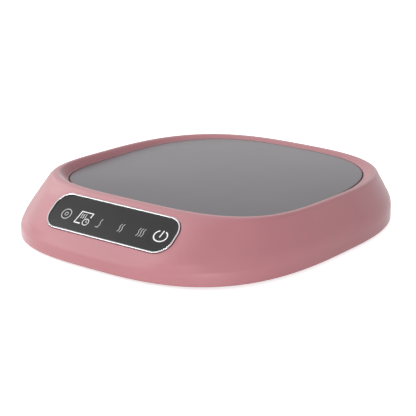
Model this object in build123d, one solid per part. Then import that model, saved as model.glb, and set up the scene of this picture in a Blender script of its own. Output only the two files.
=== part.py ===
from build123d import *
from math import acos, copysign, cos, hypot, pi, radians, sin, sqrt, tan
import os

os.makedirs("parts", exist_ok=True)

# ---------------------------------------------------------------------------
# Electric mug warmer. Millimetres, +Z up, X across the width, the control
# panel faces -Y. The origin is the middle of the footprint, on the table.
# ---------------------------------------------------------------------------

# Housing, outside
BASE_HALF_WIDTH = 67.0
BASE_HALF_LENGTH = 75.9
BASE_WIDEST_Y = 5.4         # the footprint is widest a little behind its middle
FOOT_PROUD = 1.2            # height of the housing's bottom edge above the table
BAND_HEIGHT = 5.0           # upright band round the foot of the wall
BOTTOM_ROUND = 0.7
PLATE_HEIGHT = 18.7         # heating plate's top above the housing's bottom edge
LIP_HEIGHT = 2.3            # crest of the lip above the plate, at the crest's widest line
LIP_TILT = 0.0233           # rise of the crest per millimetre towards the front
WALL_SLOPE = 63.0           # side and back walls, degrees from the table
WALL_ARC = 12.0             # bend between band and wall, sides and back
CREST_RADIUS = 2.0          # rounding of the lip, sides and back
FRONT_SLOPE = 38.5          # control panel's slope, degrees from the table
FRONT_CREASE_RADIUS = 2.5
FRONT_CREST_RADIUS = 6.3
CREST_WIDEST_Y = -0.45
CREST_FLAT = 0.3            # level strip on top of the lip
BASE_POWER_FRONT = 3.0      # exponents of the superellipse outlines
BASE_POWER_BACK = 2.6
CREST_POWER_FRONT = 3.4
CREST_POWER_BACK = 2.87
OUTLINE_POINTS = 28
REACH_PASSES = 12           # passes that settle a tilted section on the slope
FLAT_HALF_WIDTH = 26.0      # middle of the slope that is flat, for the panel
FLAT_FADE = 24.0            # width over which the flat blends into the corners
FLAT_RAMP = 4.0             # height over which it blends into band and crest
SLOPE_STEPS = 5             # sections between crease and crest
ROUND_SHARES = (0.0, 0.3, 1.0)              # heights of sections on the bottom's rounding,
CREASE_SHARES = (0.0, 0.35, 0.7, 1.0)       # on the crease and on the crest's rounding
CREST_SHARES = (0.0, 0.45, 0.75, 0.93, 1.0)
WALL = 2.2
CAVITY_DROP = 1.9           # top of the hollow below the plate's top
CAVITY_STEPS = 5

# Heating plate and what lies under it
PLATE_SIDE_MARGIN = 12.0    # in from the footprint's edges
PLATE_BACK_MARGIN = 12.75
PLATE_FRONT_MARGIN = 30.65
PLATE_POWER_FRONT = 3.6
PLATE_POWER_BACK = 2.89
PLATE_THICKNESS = 3.0
PLATE_EDGE_ROUND = 0.4
PLATE_GAP = 0.5             # slot between plate and ledge
LEDGE_DEPTH = 0.1           # ledge below the plate's top
LEDGE_WIDTH = 0.6
LIP_PROFILE = (             # rise and lean of the lip's inner wall, as shares
    (0.0, 0.0),
    (0.2, 0.12),
    (0.5, 0.36),
    (0.8, 0.62),
    (0.94, 0.8),
    (1.0, 1.0),
)
GASKET_THICKNESS = 0.5
GASKET_WIDTH = 3.5
GASKET_LIP = 0.34
GASKET_LIP_DROP = 0.9       # top of the gasket's lip below the plate's top
FLANGE_THICKNESS = 2.2
FLANGE_WIDTH = 6.0
TUB_MARGIN = 3.4            # outside of the plate's tub beyond the plate
SPREADER_THICKNESS = 1.5
SPREADER_CLEARANCE = 1.0
FILM_THICKNESS = 0.5
FILM_INSET = 1.5
INSULATION_THICKNESS = 1.7
INSULATION_INSET = 0.6
SHIELD_THICKNESS = 0.6
SHIELD_EAR_WIDTH = 9.0
SHIELD_EAR_ROUND = 3.0
SHIELD_EAR_REACH = 5.4      # ear's tip beyond the shield's edge
SHIELD_SCREW_REACH = 2.6
SHIELD_SCREW_RADIUS = 1.25
SHIELD_SCREW_LENGTH = 3.2
SHIELD_HEAD_RADIUS = 2.2
SHIELD_HEAD_HEIGHT = 1.3
SHIELD_PAD_RADIUS = 3.0
SENSOR_RADIUS = 3.0
SENSOR_HEIGHT = 5.0
SENSOR_PLACE = (14.0, 4.0)
SENSOR_CLEARANCE = 0.3
CUTOUT_RADIUS = 2.0
CUTOUT_LENGTH = 12.0
CUTOUT_PLACE = (-24.0, -18.0)
CLIP_WIDTH = 4.0
CLIP_THICKNESS = 0.5
CLIP_FOOT = 2.5             # length of each of the clip's feet

# Base cover, feet and housing screws
COVER_CLEARANCE = 0.25
COVER_THICKNESS = 2.0
COVER_RISE = 0.1            # cover's underside above the housing's bottom edge
COVER_RIM_HEIGHT = 1.4
COVER_RIM_WALL = 1.6
COVER_RIM_STEP = 0.4        # rim's outside in from the cover's edge
BOSS_RADIUS = 3.5
BOSS_INSETS = ((19.0, 37.9), (20.0, 41.9))  # from the footprint's side, then back or front
BOSS_CUP_HEIGHT = 2.3       # cup of the cover above its floor, round each screw
BOSS_CUP_WALL = 1.7
SCREW_RADIUS = 1.5
SCREW_LENGTH = 9.0
SCREW_PILOT_CLEARANCE = 0.05
PILOT_DEPTH_MARGIN = 0.3
SCREW_HOLE = 1.8
SCREW_HEAD_RADIUS = 2.8
SCREW_HEAD_HEIGHT = 1.9
SCREW_HEAD_CLEARANCE = 0.3
SCREW_BRIDGE = 1.6          # plastic between screw head and boss
FOOT_RADIUS = 5.5
FOOT_SEAT = 1.0
FOOT_CLEARANCE = 0.15
FOOT_EDGE = 0.5
FOOT_INSETS = ((24.0, 21.9), (24.0, 22.9))
VENT_WIDTH = 1.8
VENT_LENGTH = 20.0
VENT_PITCH = 4.2
VENT_COUNT = 7
VENT_Y = -19.0

# Control panel, in the slope's own plane: across, up the slope, outwards
PANEL_UP_SLOPE = 16.8       # panel's middle from the crease
LENS_HALF_LENGTH = 31.0
LENS_HALF_HEIGHT = 7.9
LENS_CORNER = 6.3
LENS_THICKNESS = 1.2
LENS_SUNK = 0.1             # lens below the slope
BEZEL_WIDTH = 0.8
BEZEL_PROUD = 0.35
BEZEL_CLEARANCE = 0.05
BEZEL_EDGE = 0.2
LENS_LEDGE = 1.0
FRAME_MARGIN = 2.4
FRAME_DEPTH = 2.7           # frame behind the lens
BOARD_THICKNESS = 1.2
BOARD_CORNER = 2.0
FRAME_HALF_LENGTH = 38.0
PANEL_BOARD_HALF_LENGTH = 37.2
PANEL_BOARD_HALF_HEIGHT = 7.4
PANEL_SCREW_X = 35.2
PANEL_SCREW_RADIUS = 1.0
PANEL_SCREW_LENGTH = 3.4
PANEL_HEAD_RADIUS = 1.9
PANEL_HEAD_HEIGHT = 1.1
KEY_PLACES = {"timer": (-13.9, -0.6), "power": (24.2, -0.6)}
KEY_HALF_WIDTH = 4.2
KEY_HALF_HEIGHT = 4.4
KEY_CORNER = 2.4
KEY_GAP = 0.12
KEY_TRAVEL = 0.3
KEY_SKIRT = 0.6             # skirt that stops the key from leaving its window
KEY_SKIRT_THICKNESS = 0.6
KEY_SKIRT_CLEARANCE = 0.02
SWITCH_HALF_SIDE = 2.3
SWITCH_HEIGHT = 1.2
PLUNGER_RADIUS = 1.0
PLUNGER_CLEARANCE = 0.08
PLUNGER_DEPTH = 0.4
SWITCH_WELL_MARGIN = 0.2    # well under the plunger when pressed
LIGHT_WALL_CLEARANCE = 0.15
LIGHT_HOLE_RADIUS = 1.6
LIGHT_PLACES = ((-23.1, -1.0), (-4.9, -1.5), (5.5, -1.4), (15.4, -1.2))
LED_HALF_SIDE = 0.8
LED_HEIGHT = 0.8
RIBBON_WIDTH = 8.0
RIBBON_THICKNESS = 0.4
RIBBON_UP_SLOPE = -3.0
RIBBON_CLEARANCE = 0.8
RIBBON_RADIUS = 2.5
RIBBON_PLUG_LENGTH = 3.0
RIBBON_PLUG_HEIGHT = 2.4

# Power board in the base
BOARD_WIDTH = 62.0
BOARD_LENGTH = 38.0
BOARD_BACK_INSET = 26.9     # from the footprint's back edge
BOARD_STANDOFF = 1.5
POST_RADIUS = 3.0
POST_INSET = 4.0
BOARD_SCREW_RADIUS = 1.25
BOARD_SCREW_LENGTH = 3.6
BOARD_HEAD_RADIUS = 2.2
BOARD_HEAD_HEIGHT = 1.4
CAPACITOR_SIZE = (18.0, 12.0, 5.5)
CAPACITOR_FROM_SIDE = 3.0   # gaps to the board's edges
CAPACITOR_Y = 3.0           # from the board's middle
CASE_ROUND = 0.8
TERMINAL_SIZE = (12.0, 8.0, 5.6)
TERMINAL_FROM_BACK = 2.0
TERMINAL_MOUTH = 1.4
TRIAC_SIZE = (10.0, 9.0, 3.4)
SINK_SIZE = (18.0, 14.0, 1.0)
SINK_FROM_SIDE = 4.0
SINK_Y = 1.0
SMOOTHING_RADIUS = 3.2
SMOOTHING_HEIGHT = 5.2
SMOOTHING_PLACE = (0.0, 0.0)
FUSE_RADIUS = 1.8
FUSE_LENGTH = 12.0
FUSE_CAP = 2.5
FUSE_CAP_WALL = 0.3
FUSE_FROM_FRONT = 7.0
LEAD_RADIUS = 0.8
LEAD_SPACING = 6.0

# Cord gland in the back wall
GLAND_HEIGHT = 7.8          # axis above the housing's bottom edge
GLAND_BORE = 2.6
GLAND_NECK = 3.9
GLAND_FLANGE = 5.3
GLAND_FLANGE_THICKNESS = 1.4
GLAND_LIP = 4.8
GLAND_LIP_THICKNESS = 1.5
GLAND_CLEARANCE = 0.1
GLAND_SUNK = 1.6            # gland's face inside the footprint's back edge
GLAND_PAD = 7.0
GLAND_PAD_THICKNESS = 3.3

# ---------------------------------------------------------------------------
# Levels and places worked out from the sizes above
# ---------------------------------------------------------------------------
PLATE_HALF_WIDTH = BASE_HALF_WIDTH - PLATE_SIDE_MARGIN
PLATE_BACK = BASE_HALF_LENGTH - PLATE_BACK_MARGIN - CREST_WIDEST_Y
PLATE_FRONT = BASE_HALF_LENGTH - PLATE_FRONT_MARGIN + CREST_WIDEST_Y
BOTTOM_Z = FOOT_PROUD
BAND_Z = BOTTOM_Z + BAND_HEIGHT
PLATE_Z = BOTTOM_Z + PLATE_HEIGHT
CREST_Z = PLATE_Z + LIP_HEIGHT
PLATE_UNDER_Z = PLATE_Z - PLATE_THICKNESS
SEAT_Z = PLATE_UNDER_Z - GASKET_THICKNESS
FLANGE_UNDER_Z = SEAT_Z - FLANGE_THICKNESS
SPREADER_Z = PLATE_UNDER_Z - SPREADER_THICKNESS
FILM_Z = SPREADER_Z - FILM_THICKNESS
INSULATION_Z = FILM_Z - INSULATION_THICKNESS
SHIELD_Z = INSULATION_Z - SHIELD_THICKNESS
COVER_Z = BOTTOM_Z + COVER_RISE
COVER_TOP_Z = COVER_Z + COVER_THICKNESS
BOSS_Z = COVER_TOP_Z + BOSS_CUP_HEIGHT
HEAD_Z = BOSS_Z - SCREW_BRIDGE
BOARD_Z = COVER_TOP_Z + BOARD_STANDOFF
BOARD_TOP_Z = BOARD_Z + BOARD_THICKNESS
GLAND_Z = BOTTOM_Z + GLAND_HEIGHT
GLAND_FACE_Y = BASE_HALF_LENGTH - GLAND_SUNK
GLAND_SEAT_Y = GLAND_FACE_Y - GLAND_FLANGE_THICKNESS
SPREADER_INSET = FLANGE_WIDTH + SPREADER_CLEARANCE
SHIELD_INSET = SPREADER_INSET
CREASE_FOOT_Z = BAND_Z - FRONT_CREASE_RADIUS * tan(radians(90 - FRONT_SLOPE) / 2)
WALL_FOOT_Z = BAND_Z - FRONT_CREASE_RADIUS   # the inside stands upright below this
PANEL_Y = -BASE_HALF_LENGTH + PANEL_UP_SLOPE * cos(radians(FRONT_SLOPE))
PANEL_Z = BAND_Z + PANEL_UP_SLOPE * sin(radians(FRONT_SLOPE))
SLOPE_PLANE = Plane(
    origin=(0, PANEL_Y, PANEL_Z),
    x_dir=(1, 0, 0),
    z_dir=(0, -sin(radians(FRONT_SLOPE)), cos(radians(FRONT_SLOPE))),
)
LENS_TOP = -LENS_SUNK
LENS_UNDER = LENS_TOP - LENS_THICKNESS
FRAME_BACK = LENS_UNDER - FRAME_DEPTH
PANEL_BOARD_BACK = FRAME_BACK - BOARD_THICKNESS
SWITCH_TOP = FRAME_BACK + SWITCH_HEIGHT
BOARD_Y = BASE_HALF_LENGTH - BOARD_BACK_INSET - BOARD_LENGTH / 2
CAPACITOR_PLACE = (CAPACITOR_FROM_SIDE + (CAPACITOR_SIZE[0] - BOARD_WIDTH) / 2, CAPACITOR_Y)
TERMINAL_PLACE = (0.0, (BOARD_LENGTH - TERMINAL_SIZE[1]) / 2 - TERMINAL_FROM_BACK)
TRIAC_PLACE = ((BOARD_WIDTH - SINK_SIZE[0]) / 2 - SINK_FROM_SIDE, SINK_Y)
FUSE_PLACE = (CAPACITOR_PLACE[0], FUSE_FROM_FRONT - BOARD_LENGTH / 2)


# ---------------------------------------------------------------------------
# Outlines: superellipses whose front and back halves differ
# ---------------------------------------------------------------------------
def signed_power(value, power):
    return copysign(abs(value) ** power, value)


def fade(value):
    """Smooth step from 0 to 1."""
    value = min(1.0, max(0.0, value))
    return value * value * (3 - 2 * value)


def outline(half_width, front, back, power_front, power_back, widest_y, flat=0.0):
    """Points of an outline. front and back are reaches from the widest line.
    flat, from 0 to 1, straightens the middle of the front edge."""
    points = []
    for step in range(OUTLINE_POINTS):
        angle = 2 * pi * step / OUTLINE_POINTS
        behind = sin(angle) >= 0
        power = power_back if behind else power_front
        reach = back if behind else front
        x = half_width * signed_power(cos(angle), 2 / power)
        y = reach * signed_power(sin(angle), 2 / power)
        if not behind:
            kept = 1 - flat * (1 - fade((abs(x) - FLAT_HALF_WIDTH) / FLAT_FADE))
            y = -(front - (front + y) * kept)
        points.append((x, y + widest_y))
    return points


def running_lengths(points):
    """Distance round a closed outline at each point, back to the first."""
    lengths = [0.0]
    for index, (x, y) in enumerate(points):
        next_x, next_y = points[(index + 1) % len(points)]
        lengths.append(lengths[-1] + hypot(next_x - x, next_y - y))
    return lengths


def closed_face(points, level, tilt=0.0):
    """Face inside a smooth closed curve, on a plane that rises towards the front.
    Every outline is measured out like the plate's, so that sections line up."""
    lengths = running_lengths(plate_points(0.0))
    raised = [(x, y, level - tilt * y) for x, y in points]
    return make_face(Edge.make_spline(raised, periodic=True, parameters=lengths)).face()


# ---------------------------------------------------------------------------
# Profiles of the housing's wall: how far it leans in at a height
# ---------------------------------------------------------------------------
def bottom_inset(z):
    height = z - BOTTOM_Z
    if height >= BOTTOM_ROUND:
        return 0.0
    return BOTTOM_ROUND - sqrt(BOTTOM_ROUND**2 - (BOTTOM_ROUND - height) ** 2)


def leaning_inset(rise, radius, slope_degrees):
    """Inset of a wall that bends from upright, by an arc, into a straight slope."""
    bend = radians(90 - slope_degrees)
    arc_rise = radius * sin(bend)
    if rise <= 0:
        return 0.0
    if rise < arc_rise:
        return radius - sqrt(radius**2 - rise**2)
    return radius * (1 - cos(bend)) + (rise - arc_rise) * tan(bend)


def side_inset(z):
    return bottom_inset(z) + leaning_inset(z - BAND_Z, WALL_ARC, WALL_SLOPE)


def front_inset(z):
    """The crease's arc starts below the band's top, so that the slope passes through it."""
    tangent = FRONT_CREASE_RADIUS * tan(radians(90 - FRONT_SLOPE) / 2)
    rise = z - BAND_Z + tangent
    return bottom_inset(z) + leaning_inset(rise, FRONT_CREASE_RADIUS, FRONT_SLOPE)


def crest_offset(drop, radius, slope_degrees):
    """Distance outside the crest's line at a drop below it, on the rounding."""
    return radius * sin(acos(1 - min(drop, radius * (1 - cos(radians(slope_degrees)))) / radius))


def rise_share(level):
    return min(1.0, max(0.0, (level - BAND_Z) / (CREST_Z - BAND_Z)))


def tilt_at(level):
    return LIP_TILT * rise_share(level)


def front_reach(level):
    """Where the straight slope meets a tilted section, measured from the origin."""
    reach = BASE_HALF_LENGTH
    for _ in range(REACH_PASSES):
        reach = BASE_HALF_LENGTH - front_inset(level + tilt_at(level) * reach)
    return reach


def rounded_reach(reach_at, level, radius, slope_degrees):
    """A reach that follows the straight wall and then the crest's rounding."""
    arc_drop = radius * (1 - cos(radians(slope_degrees)))
    arc_level = CREST_Z - arc_drop
    if level <= arc_level:
        return reach_at(level)
    crest = reach_at(arc_level) - radius * sin(radians(slope_degrees))
    return crest + crest_offset(CREST_Z - level, radius, slope_degrees)


def wall_section(level, inset=0.0, front_inset_extra=0.0):
    """Outline of the housing's outside at a level, moved inwards by inset."""
    share = rise_share(level)
    widest_y = BASE_WIDEST_Y + (CREST_WIDEST_Y - BASE_WIDEST_Y) * share
    half_width = rounded_reach(lambda z: BASE_HALF_WIDTH - side_inset(z), level, CREST_RADIUS, WALL_SLOPE)
    back = rounded_reach(lambda z: BASE_HALF_LENGTH - side_inset(z), level, CREST_RADIUS, WALL_SLOPE)
    front = rounded_reach(front_reach, level, FRONT_CREST_RADIUS, FRONT_SLOPE)
    power_front = BASE_POWER_FRONT + (CREST_POWER_FRONT - BASE_POWER_FRONT) * share
    power_back = BASE_POWER_BACK + (CREST_POWER_BACK - BASE_POWER_BACK) * share
    flat = min(fade((level - BAND_Z) / FLAT_RAMP), fade((CREST_Z - level) / FLAT_RAMP))
    return outline(
        half_width - inset,
        front + widest_y - inset - front_inset_extra,
        back - widest_y - inset,
        power_front,
        power_back,
        widest_y,
        flat,
    )


def wall_face(level, inset=0.0, front_inset_extra=0.0):
    return closed_face(wall_section(level, inset, front_inset_extra), level, tilt_at(level))


def plate_points(margin):
    """The heating plate's outline, grown by a margin."""
    return outline(
        PLATE_HALF_WIDTH + margin,
        PLATE_FRONT + margin,
        PLATE_BACK + margin,
        PLATE_POWER_FRONT,
        PLATE_POWER_BACK,
        CREST_WIDEST_Y,
    )


def plate_prism(margin, bottom, top):
    return extrude(closed_face(plate_points(margin), bottom), amount=top - bottom, dir=(0, 0, 1))


def upright(radius, place, bottom, top):
    """Cylinder standing at a place, between two heights."""
    return Pos(place[0], place[1], bottom) * Cylinder(
        radius, top - bottom, align=(Align.CENTER, Align.CENTER, Align.MIN)
    )


def corner_places(insets):
    """Places in the corners of the footprint, a pair at the back and a pair in front."""
    (back_side, back), (front_side, front) = insets
    return [
        (side * (BASE_HALF_WIDTH - inset), y)
        for inset, y in ((back_side, BASE_HALF_LENGTH - back), (front_side, front - BASE_HALF_LENGTH))
        for side in (1, -1)
    ]


def on_slope(shape):
    return SLOPE_PLANE * shape


def pad(half_length, half_height, corner, bottom, top, place=(0.0, 0.0)):
    """Rounded rectangle block in the slope's plane, between two depths."""
    face = Pos(place[0], place[1], bottom) * RectangleRounded(2 * half_length, 2 * half_height, corner)
    return on_slope(extrude(face, amount=top - bottom, dir=(0, 0, 1)))


def peg(radius, place, bottom, top):
    """Round post along the slope's normal."""
    return on_slope(upright(radius, place, bottom, top))


def block(size, place, bottom):
    """Box on a level, given its middle."""
    return Pos(place[0], place[1], bottom) * Box(*size, align=(Align.CENTER, Align.CENTER, Align.MIN))


# ---------------------------------------------------------------------------
# Housing
# ---------------------------------------------------------------------------
def wall_levels():
    """Heights of the sections that shape the outside, closest where it curves."""
    crease_rise = FRONT_CREASE_RADIUS * sin(radians(90 - FRONT_SLOPE))
    crest_drop = FRONT_CREST_RADIUS * (1 - cos(radians(FRONT_SLOPE)))
    slope_foot = CREASE_FOOT_Z + crease_rise
    slope_head = CREST_Z - crest_drop
    levels = [BOTTOM_Z + BOTTOM_ROUND * share for share in ROUND_SHARES]
    levels += [(BOTTOM_Z + BOTTOM_ROUND + CREASE_FOOT_Z) / 2]
    levels += [CREASE_FOOT_Z + crease_rise * share for share in CREASE_SHARES]
    levels += [slope_foot + (slope_head - slope_foot) * step / SLOPE_STEPS for step in range(1, SLOPE_STEPS)]
    levels += [slope_head + crest_drop * share for share in CREST_SHARES]
    return levels


def housing_outside():
    return loft([wall_face(level) for level in wall_levels()])


def front_wall_extra(level):
    """Extra inset of the inside at the front, so the slope keeps its wall's thickness."""
    full = WALL / sin(radians(FRONT_SLOPE)) - WALL
    return full * fade((level - WALL_FOOT_Z) / (2 * FRONT_CREASE_RADIUS))


def housing_inside():
    """Hollow under the wall and slope, open at the bottom, round the plate's tub."""
    rise = PLATE_Z - CAVITY_DROP - WALL_FOOT_Z
    levels = [WALL_FOOT_Z + rise * step / CAVITY_STEPS for step in range(CAVITY_STEPS + 1)]
    hollow = loft([wall_face(level, WALL, front_wall_extra(level)) for level in levels])
    mouth = extrude(wall_face(WALL_FOOT_Z, WALL), amount=WALL_FOOT_Z, dir=(0, 0, -1))
    return hollow + mouth - plate_prism(TUB_MARGIN, FLANGE_UNDER_Z, CREST_Z)


def lip_inside():
    """Space over the plate: a wall that leans out from the ledge and rolls over the crest."""
    ledge = plate_points(PLATE_GAP + LEDGE_WIDTH)
    crest = wall_section(CREST_Z, CREST_FLAT)
    ledge_z = PLATE_Z - LEDGE_DEPTH
    faces = []
    for rise, lean in LIP_PROFILE:
        points = [(a + (c - a) * lean, b + (d - b) * lean) for (a, b), (c, d) in zip(ledge, crest)]
        faces.append(closed_face(points, ledge_z + (CREST_Z - ledge_z) * rise, LIP_TILT * rise))
    return loft(faces) + extrude(faces[-1], amount=LIP_HEIGHT, dir=(0, 0, 1))


def shield_ears():
    """Middle of each ear's screw, and the ear's direction."""
    half_width = PLATE_HALF_WIDTH - SHIELD_INSET + SHIELD_SCREW_REACH
    back = CREST_WIDEST_Y + PLATE_BACK - SHIELD_INSET + SHIELD_SCREW_REACH
    front = CREST_WIDEST_Y - PLATE_FRONT + SHIELD_INSET - SHIELD_SCREW_REACH
    return [
        ((half_width, CREST_WIDEST_Y), 0),
        ((0.0, back), 90),
        ((-half_width, CREST_WIDEST_Y), 180),
        ((0.0, front), 270),
    ]


def panel_frame(outside):
    """Thick frame behind the lens, inside the slope."""
    half_height = LENS_HALF_HEIGHT + FRAME_MARGIN
    return pad(FRAME_HALF_LENGTH, half_height, LENS_CORNER, FRAME_BACK, BEZEL_PROUD) & outside


def panel_openings():
    """Pocket for bezel and lens, the window behind it and the board's pilot holes."""
    rim = BEZEL_WIDTH + BEZEL_CLEARANCE
    through = FRAME_BACK - WALL
    cuts = [lens_pad(rim, LENS_UNDER, FRONT_CREST_RADIUS), lens_pad(-LENS_LEDGE, through, LENS_UNDER)]
    pilot_top = PANEL_BOARD_BACK + PANEL_SCREW_LENGTH + PILOT_DEPTH_MARGIN
    for side in (1, -1):
        radius = PANEL_SCREW_RADIUS + SCREW_PILOT_CLEARANCE
        cuts.append(peg(radius, (side * PANEL_SCREW_X, 0), through, pilot_top))
    return cuts


def along_y(radius, front, back):
    """Cylinder on the cord's axis between two places along Y."""
    return Pos(0, front, GLAND_Z) * Rot(-90, 0, 0) * Cylinder(
        radius, back - front, align=(Align.CENTER, Align.CENTER, Align.MIN)
    )


def gland_pad(outside):
    """Thickened wall that the gland's groove grips, clear of the base cover."""
    disc = along_y(GLAND_PAD, GLAND_SEAT_Y - GLAND_PAD_THICKNESS, BASE_HALF_LENGTH)
    floor_z = COVER_TOP_Z + COVER_CLEARANCE
    above = block((2 * GLAND_PAD, 2 * GLAND_PAD, 2 * GLAND_PAD), (0, GLAND_SEAT_Y), floor_z)
    return disc & above & outside


def gland_openings():
    """Spot face for the gland's flange and the hole for its neck."""
    flange = along_y(GLAND_FLANGE + GLAND_CLEARANCE, GLAND_SEAT_Y, BASE_HALF_LENGTH + WALL)
    inner_face = GLAND_SEAT_Y - GLAND_PAD_THICKNESS
    return [flange, along_y(GLAND_NECK + GLAND_CLEARANCE, inner_face - WALL, GLAND_SEAT_Y)]


def upper_housing():
    outside = housing_outside()
    added = [panel_frame(outside), gland_pad(outside)]
    added += [upright(BOSS_RADIUS, place, BOSS_Z, FLANGE_UNDER_Z) for place in corner_places(BOSS_INSETS)]
    added += [upright(SHIELD_PAD_RADIUS, place, INSULATION_Z, FLANGE_UNDER_Z) for place, _ in shield_ears()]
    cuts = [
        lip_inside(),
        plate_prism(PLATE_GAP, SEAT_Z, PLATE_Z),
        plate_prism(-FLANGE_WIDTH, INSULATION_Z, PLATE_Z),
    ]
    cuts += panel_openings()
    cuts += gland_openings()
    radius = SCREW_RADIUS + SCREW_PILOT_CLEARANCE
    top = HEAD_Z + SCREW_LENGTH + PILOT_DEPTH_MARGIN
    cuts += [upright(radius, place, BOSS_Z, top) for place in corner_places(BOSS_INSETS)]
    radius = SHIELD_SCREW_RADIUS + SCREW_PILOT_CLEARANCE
    top = SHIELD_Z + SHIELD_SCREW_LENGTH + PILOT_DEPTH_MARGIN
    cuts += [upright(radius, place, INSULATION_Z, top) for place, _ in shield_ears()]
    return outside - housing_inside() + added - cuts


# ---------------------------------------------------------------------------
# Base cover, feet and screws
# ---------------------------------------------------------------------------
def cover_outline(level, inset):
    """Face on the cover's underside that stays clear of the housing's wall up to a level."""
    return closed_face(wall_section(level, WALL + COVER_CLEARANCE + inset, front_wall_extra(level)), COVER_Z)


def cover_rim():
    """Upright rim that lines the cover up inside the housing, open at the gland."""
    tall = COVER_THICKNESS + COVER_RIM_HEIGHT
    rim_top = COVER_Z + tall
    outer = cover_outline(rim_top, COVER_RIM_STEP)
    inner = cover_outline(rim_top, COVER_RIM_STEP + COVER_RIM_WALL)
    ring = Face(outer.outer_wire(), [inner.outer_wire()])
    notch = 2 * (GLAND_PAD + COVER_CLEARANCE)
    opening = block((notch, notch, notch), (0, GLAND_SEAT_Y), COVER_TOP_Z)
    return extrude(ring, amount=tall, dir=(0, 0, 1)) - opening


def base_cover():
    floor = extrude(cover_outline(BOTTOM_Z + BOTTOM_ROUND, 0.0), amount=COVER_THICKNESS, dir=(0, 0, 1))
    well_radius = SCREW_HEAD_RADIUS + SCREW_HEAD_CLEARANCE
    screws = corner_places(BOSS_INSETS)
    added = [cover_rim()]
    added += [upright(well_radius + BOSS_CUP_WALL, place, COVER_Z, BOSS_Z) for place in screws]
    added += [upright(POST_RADIUS, place, COVER_TOP_Z, BOARD_Z) for place in board_posts()]
    cuts = [upright(well_radius, place, COVER_Z, HEAD_Z) for place in screws]
    cuts += [upright(SCREW_HOLE, place, HEAD_Z, BOSS_Z) for place in screws]
    pilot = BOARD_SCREW_RADIUS + SCREW_PILOT_CLEARANCE
    pilot_foot = BOARD_TOP_Z - BOARD_SCREW_LENGTH - PILOT_DEPTH_MARGIN
    cuts += [upright(pilot, place, pilot_foot, BOARD_Z) for place in board_posts()]
    seat = FOOT_RADIUS + FOOT_CLEARANCE
    cuts += [upright(seat, place, COVER_Z, COVER_Z + FOOT_SEAT) for place in corner_places(FOOT_INSETS)]
    for index in range(VENT_COUNT):
        x = (index - (VENT_COUNT - 1) / 2) * VENT_PITCH
        slot = Pos(x, VENT_Y, COVER_Z) * SlotOverall(VENT_LENGTH, VENT_WIDTH, rotation=90)
        cuts.append(extrude(slot, amount=COVER_THICKNESS, dir=(0, 0, 1)))
    return floor + added - cuts


def rubber_feet():
    height = COVER_Z + FOOT_SEAT
    foot = Cylinder(FOOT_RADIUS, height, align=(Align.CENTER, Align.CENTER, Align.MIN))
    foot = chamfer(foot.edges().group_by(Axis.Z)[0], FOOT_EDGE)
    return [Pos(x, y, 0) * foot for x, y in corner_places(FOOT_INSETS)]


def screw(radius, length, head_radius, head_height):
    """Pan-head screw, head down, its seat at the origin."""
    return upright(head_radius, (0, 0), -head_height, 0) + upright(radius, (0, 0), 0, length)


def housing_screws():
    one = screw(SCREW_RADIUS, SCREW_LENGTH, SCREW_HEAD_RADIUS, SCREW_HEAD_HEIGHT)
    return [Pos(x, y, HEAD_Z) * one for x, y in corner_places(BOSS_INSETS)]


# ---------------------------------------------------------------------------
# Heating plate and the stack under it
# ---------------------------------------------------------------------------
def heating_plate():
    plate = plate_prism(0.0, PLATE_UNDER_Z, PLATE_Z)
    return fillet(plate.edges().group_by(Axis.Z)[-1], PLATE_EDGE_ROUND)


def plate_gasket():
    """Ring under the plate's edge, with a thin lip that stands up in the slot round it."""
    slack = (PLATE_GAP - GASKET_LIP) / 2
    outer = slack + GASKET_LIP
    lip_top = PLATE_Z - GASKET_LIP_DROP
    seat = plate_prism(slack, PLATE_UNDER_Z, lip_top)
    opening = plate_prism(outer - GASKET_WIDTH, SEAT_Z, PLATE_UNDER_Z)
    return plate_prism(outer, SEAT_Z, lip_top) - [seat, opening]


def sensor_hole(bottom, top):
    return upright(SENSOR_RADIUS + SENSOR_CLEARANCE, SENSOR_PLACE, bottom, top)


def lead_places():
    x = TRIAC_PLACE[0] + SINK_SIZE[0] / 2 - LEAD_RADIUS
    y = BOARD_Y + TRIAC_PLACE[1] - SINK_SIZE[1] / 2 - LEAD_SPACING / 2
    return [(x, y), (x - LEAD_SPACING, y)]


def heat_spreader():
    return plate_prism(-SPREADER_INSET, SPREADER_Z, PLATE_UNDER_Z)


def heating_film():
    film = plate_prism(-SPREADER_INSET - FILM_INSET, FILM_Z, SPREADER_Z)
    return film - sensor_hole(FILM_Z, SPREADER_Z)


def stack_holes(bottom, top):
    """Openings of the heater stack for the sensor and the two heater leads."""
    leads = [upright(LEAD_RADIUS + SENSOR_CLEARANCE, place, bottom, top) for place in lead_places()]
    return [sensor_hole(bottom, top)] + leads


def insulation_pad():
    layer = plate_prism(-SPREADER_INSET - INSULATION_INSET, INSULATION_Z, FILM_Z)
    return layer - stack_holes(INSULATION_Z, FILM_Z)


def heat_shield():
    """Sheet that clamps the stack, with four ears screwed to the housing's pads."""
    sheet = plate_prism(-SHIELD_INSET, SHIELD_Z, INSULATION_Z)
    tip = SHIELD_EAR_REACH - SHIELD_SCREW_REACH
    ear_align = (Align.MAX, Align.CENTER, Align.MIN)
    ear = Pos(tip, 0, 0) * Box(2 * SHIELD_EAR_WIDTH, SHIELD_EAR_WIDTH, SHIELD_THICKNESS, align=ear_align)
    ear = fillet(ear.edges().filter_by(Axis.Z).group_by(Axis.X)[-1], SHIELD_EAR_ROUND)
    ears = [Pos(x, y, SHIELD_Z) * Rot(0, 0, turn) * ear for (x, y), turn in shield_ears()]
    hole = SHIELD_SCREW_RADIUS + SENSOR_CLEARANCE
    holes = [upright(hole, place, SHIELD_Z, INSULATION_Z) for place, _ in shield_ears()]
    return sheet + ears - (holes + stack_holes(SHIELD_Z, INSULATION_Z))


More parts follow.
